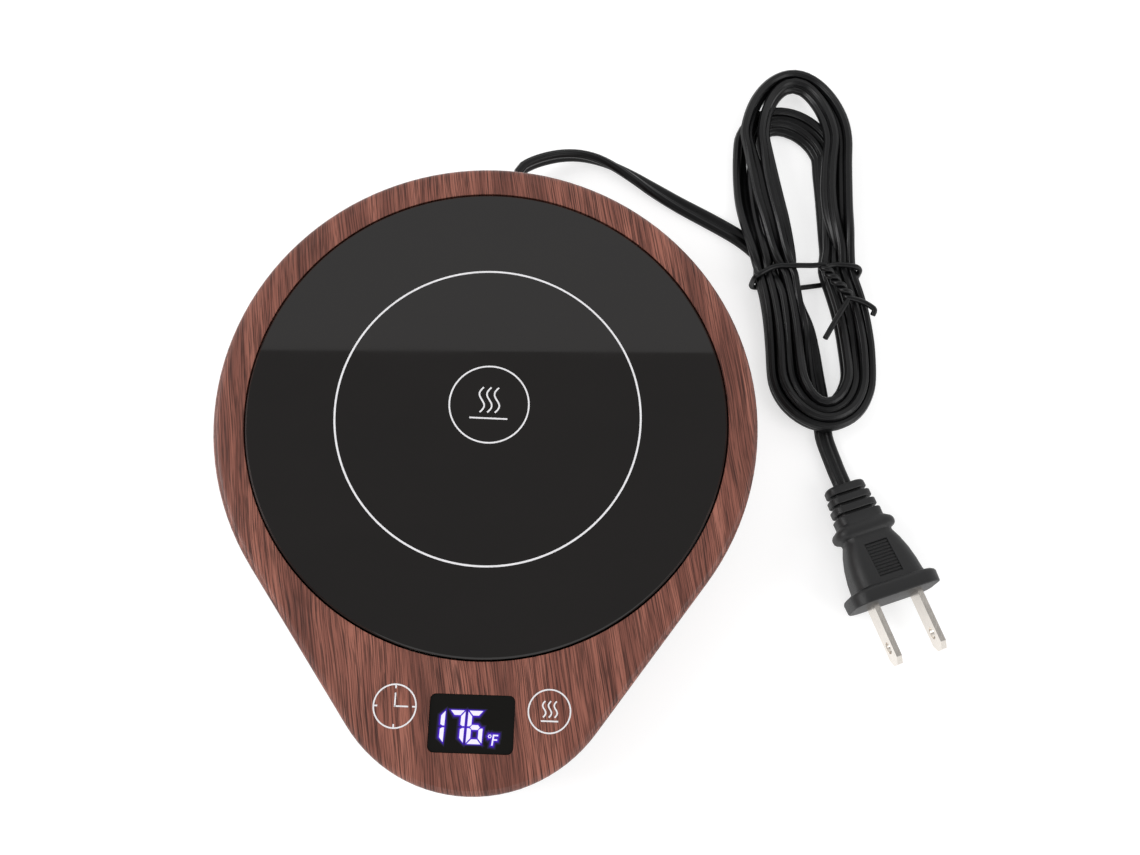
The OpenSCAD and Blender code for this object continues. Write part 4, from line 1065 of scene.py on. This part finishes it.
# Each material by its slot in the record
SPECKLED = {
    "black_plastic": dict(colour=srgb(36, 35, 36), rough=0.55, grain=0.5, depth=0.04),
    "foot_rubber": dict(colour=srgb(44, 44, 45), rough=0.8, grain=0.8, depth=0.06),
    "white_plastic": dict(colour=(0.8, 0.8, 0.77), rough=0.45, grain=0.6, depth=0.03, wander=0.04),
    "green_board": dict(colour=(0.03, 0.22, 0.1), rough=0.3, grain=1.2, depth=0.03, wander=0.25, patch=4),
    "tan_board": dict(colour=(0.6, 0.42, 0.2), rough=0.6, grain=0.7, depth=0.03, wander=0.15, patch=6),
    "green_plastic": dict(colour=(0.1, 0.35, 0.14), rough=0.5, grain=0.6, depth=0.03),
    "yellow_plastic": dict(colour=(0.75, 0.6, 0.1), rough=0.25, grain=0.9, depth=0.02),
    "blue_plastic": dict(colour=(0.05, 0.06, 0.2), rough=0.2, grain=0.9, depth=0.02),
    "fuse_glass": dict(colour=(0.75, 0.75, 0.72), rough=0.2, grain=1, depth=0.02, wander=0.08),
    "lead_rubber": dict(colour=(0.7, 0.68, 0.64), rough=0.7, grain=0.6, depth=0.04, wander=0.06),
    "red_plastic": dict(colour=(0.6, 0.06, 0.05), rough=0.5, grain=0.6, depth=0.03),
    "seal_rubber": dict(colour=(0.7, 0.7, 0.7), rough=0.6, grain=0.8, depth=0.04, wander=0.06),
    "heater_foil": dict(colour=(0.65, 0.42, 0.15), rough=0.35, grain=1, depth=0.02, wander=0.2, patch=5),
    "insulation_felt": dict(colour=(0.8, 0.78, 0.7), rough=0.95, grain=0.4, depth=0.1, wander=0.08, patch=4),
    "carrier_plastic": dict(colour=srgb(66, 66, 69), rough=0.6, grain=0.6, depth=0.05),
    "plug_rubber": dict(colour=srgb(17, 17, 18), rough=0.48, grain=0.35, depth=0.05, wander=0.1, shine=0.4),
}
BRUSHED = {
    "zinc_steel": dict(colour=(0.62, 0.62, 0.64), rough=0.32),
    "spring_steel": dict(colour=(0.6, 0.6, 0.6), rough=0.25),
    "plain_aluminium": dict(colour=(0.8, 0.8, 0.82), rough=0.35),
    "nickel_brass": dict(colour=(0.82, 0.77, 0.71), rough=0.2, along="Y"),
}
POLISHED = {
    "smoked_lens": dict(colour=srgb(12, 11, 9), rough=0.07, shine=0.22),
    "black_glass": dict(colour=srgb(13, 10, 9), rough=0.02),
}
MATERIALS = {"wood_film": wood_film(), "cord_rubber": cord_cover()}
for make, table in ((speckled, SPECKLED), (brushed, BRUSHED), (polished_black, POLISHED)):
    for name, values in table.items():
        MATERIALS[name] = make(name, **values)


def dress(piece, material):
    """Gives a piece one material, in place of any that it has."""
    piece.data.materials.clear()
    piece.data.materials.append(material)


for part in frame["record"]["subparts"]:
    if part.get("node") in NODES and part.get("material_slot") in MATERIALS:
        dress(NODES[part["node"]], MATERIALS[part["material_slot"]])

dress(cord, MATERIALS["cord_rubber"])
dress(tie, MATERIALS["cord_rubber"])
dress(plug, MATERIALS["plug_rubber"])
dress(ribs, MATERIALS["plug_rubber"])
white_ink = printed_white()
dress(plate_print, white_ink)
dress(key_print, white_ink)
dress(digits, lit_material("lit_white", srgb(246, 240, 255), 1.05))
dress(glow, lit_material("lit_halo", srgb(72, 14, 205), 1.0, "glow_level"))


# ---- floor, background and lights, in metres ----

FLOOR_HALF = 3.0
# The floor's paleness as it lights the object. Where it is seen it looks white instead:
# one share of that takes the shadows, and the other glows by itself.
FLOOR_COLOUR = 0.8
FLOOR_SHADED = 0.5
FLOOR_GLOW = 0.6


def floor_look():
    """White where it is seen, directly, in a reflection or through glass, and a plain
    pale surface for the light that it throws back."""
    made = bpy.data.materials.new("floor")
    made.use_nodes = True
    nodes, links = made.node_tree.nodes, made.node_tree.links
    nodes.clear()
    plain = nodes.new("ShaderNodeBsdfDiffuse")
    set_inputs(plain, Color=(FLOOR_COLOUR, FLOOR_COLOUR, FLOOR_COLOUR, 1))
    shaded = nodes.new("ShaderNodeBsdfDiffuse")
    set_inputs(shaded, Color=(FLOOR_SHADED, FLOOR_SHADED, FLOOR_SHADED, 1))
    lit = nodes.new("ShaderNodeEmission")
    set_inputs(lit, Color=(1, 1, 1, 1), Strength=FLOOR_GLOW)
    both = nodes.new("ShaderNodeAddShader")
    links.new(shaded.outputs[0], both.inputs[0])
    links.new(lit.outputs[0], both.inputs[1])
    ray = nodes.new("ShaderNodeLightPath").outputs
    seen = maths(nodes, links, "ADD", ray["Is Camera Ray"], ray["Is Glossy Ray"], clamped=True)
    seen = maths(nodes, links, "ADD", seen, ray["Is Transmission Ray"], clamped=True)
    choice = nodes.new("ShaderNodeMixShader")
    links.new(seen, choice.inputs[0])
    links.new(plain.outputs[0], choice.inputs[1])
    links.new(both.outputs[0], choice.inputs[2])
    output = nodes.new("ShaderNodeOutputMaterial")
    links.new(choice.outputs[0], output.inputs["Surface"])
    return made


def studio_world():
    """A white surround that darkens overhead."""
    world = bpy.data.worlds.new("studio")
    world.use_nodes = True
    nodes, links = world.node_tree.nodes, world.node_tree.links
    direction = nodes.new("ShaderNodeTexCoord")
    axes = nodes.new("ShaderNodeSeparateXYZ")
    links.new(direction.outputs["Generated"], axes.inputs[0])
    sky = ramp(nodes, links, axes.outputs["Z"], [(0.0, 1.0), (0.35, 1.0), (0.7, 0.42), (1.0, 0.38)])
    links.new(sky, nodes["Background"].inputs["Color"])
    return world


def soft_light(name, at, size, power, level_turn=None):
    """A soft box that the camera doesn't see. It faces the object, or hangs level over the
    table, turned by so many degrees."""
    data = bpy.data.lights.new(name, "AREA")
    data.shape = "RECTANGLE"
    data.size, data.size_y = size
    data.energy = power
    lamp = link(bpy.data.objects.new(name, data))
    lamp.location = at
    if level_turn is None:
        lamp.rotation_euler = (Vector((0, 0, 0)) - Vector(at)).to_track_quat("-Z", "Y").to_euler()
    else:
        lamp.rotation_euler = (0, 0, math.radians(level_turn))
    lamp.visible_camera = False


floor = link(bpy.data.objects.new("floor", bpy.data.meshes.new("floor")))
floor.data.from_pydata(
    [(-FLOOR_HALF, -FLOOR_HALF, 0), (FLOOR_HALF, -FLOOR_HALF, 0),
     (FLOOR_HALF, FLOOR_HALF, 0), (-FLOOR_HALF, FLOOR_HALF, 0)], [], [(0, 1, 2, 3)])
dress(floor, floor_look())
bpy.context.scene.world = studio_world()
soft_light("key", at=(-0.95, 0.0, 0.7), size=(0.6, 0.6), power=8.0)
soft_light("fill", at=(0.85, -0.3, 0.7), size=(0.6, 0.8), power=4.0)
soft_light("front", at=(0.0, -0.95, 0.6), size=(0.9, 0.4), power=2.2)
soft_light("back", at=(0.0, 0.895, 0.62), size=(2.6, 1.32), power=5.0, level_turn=2.4)

settings = bpy.context.scene.view_settings
settings.view_transform = "Standard"

# ---- last lines ----

bpy.context.view_layer.update()
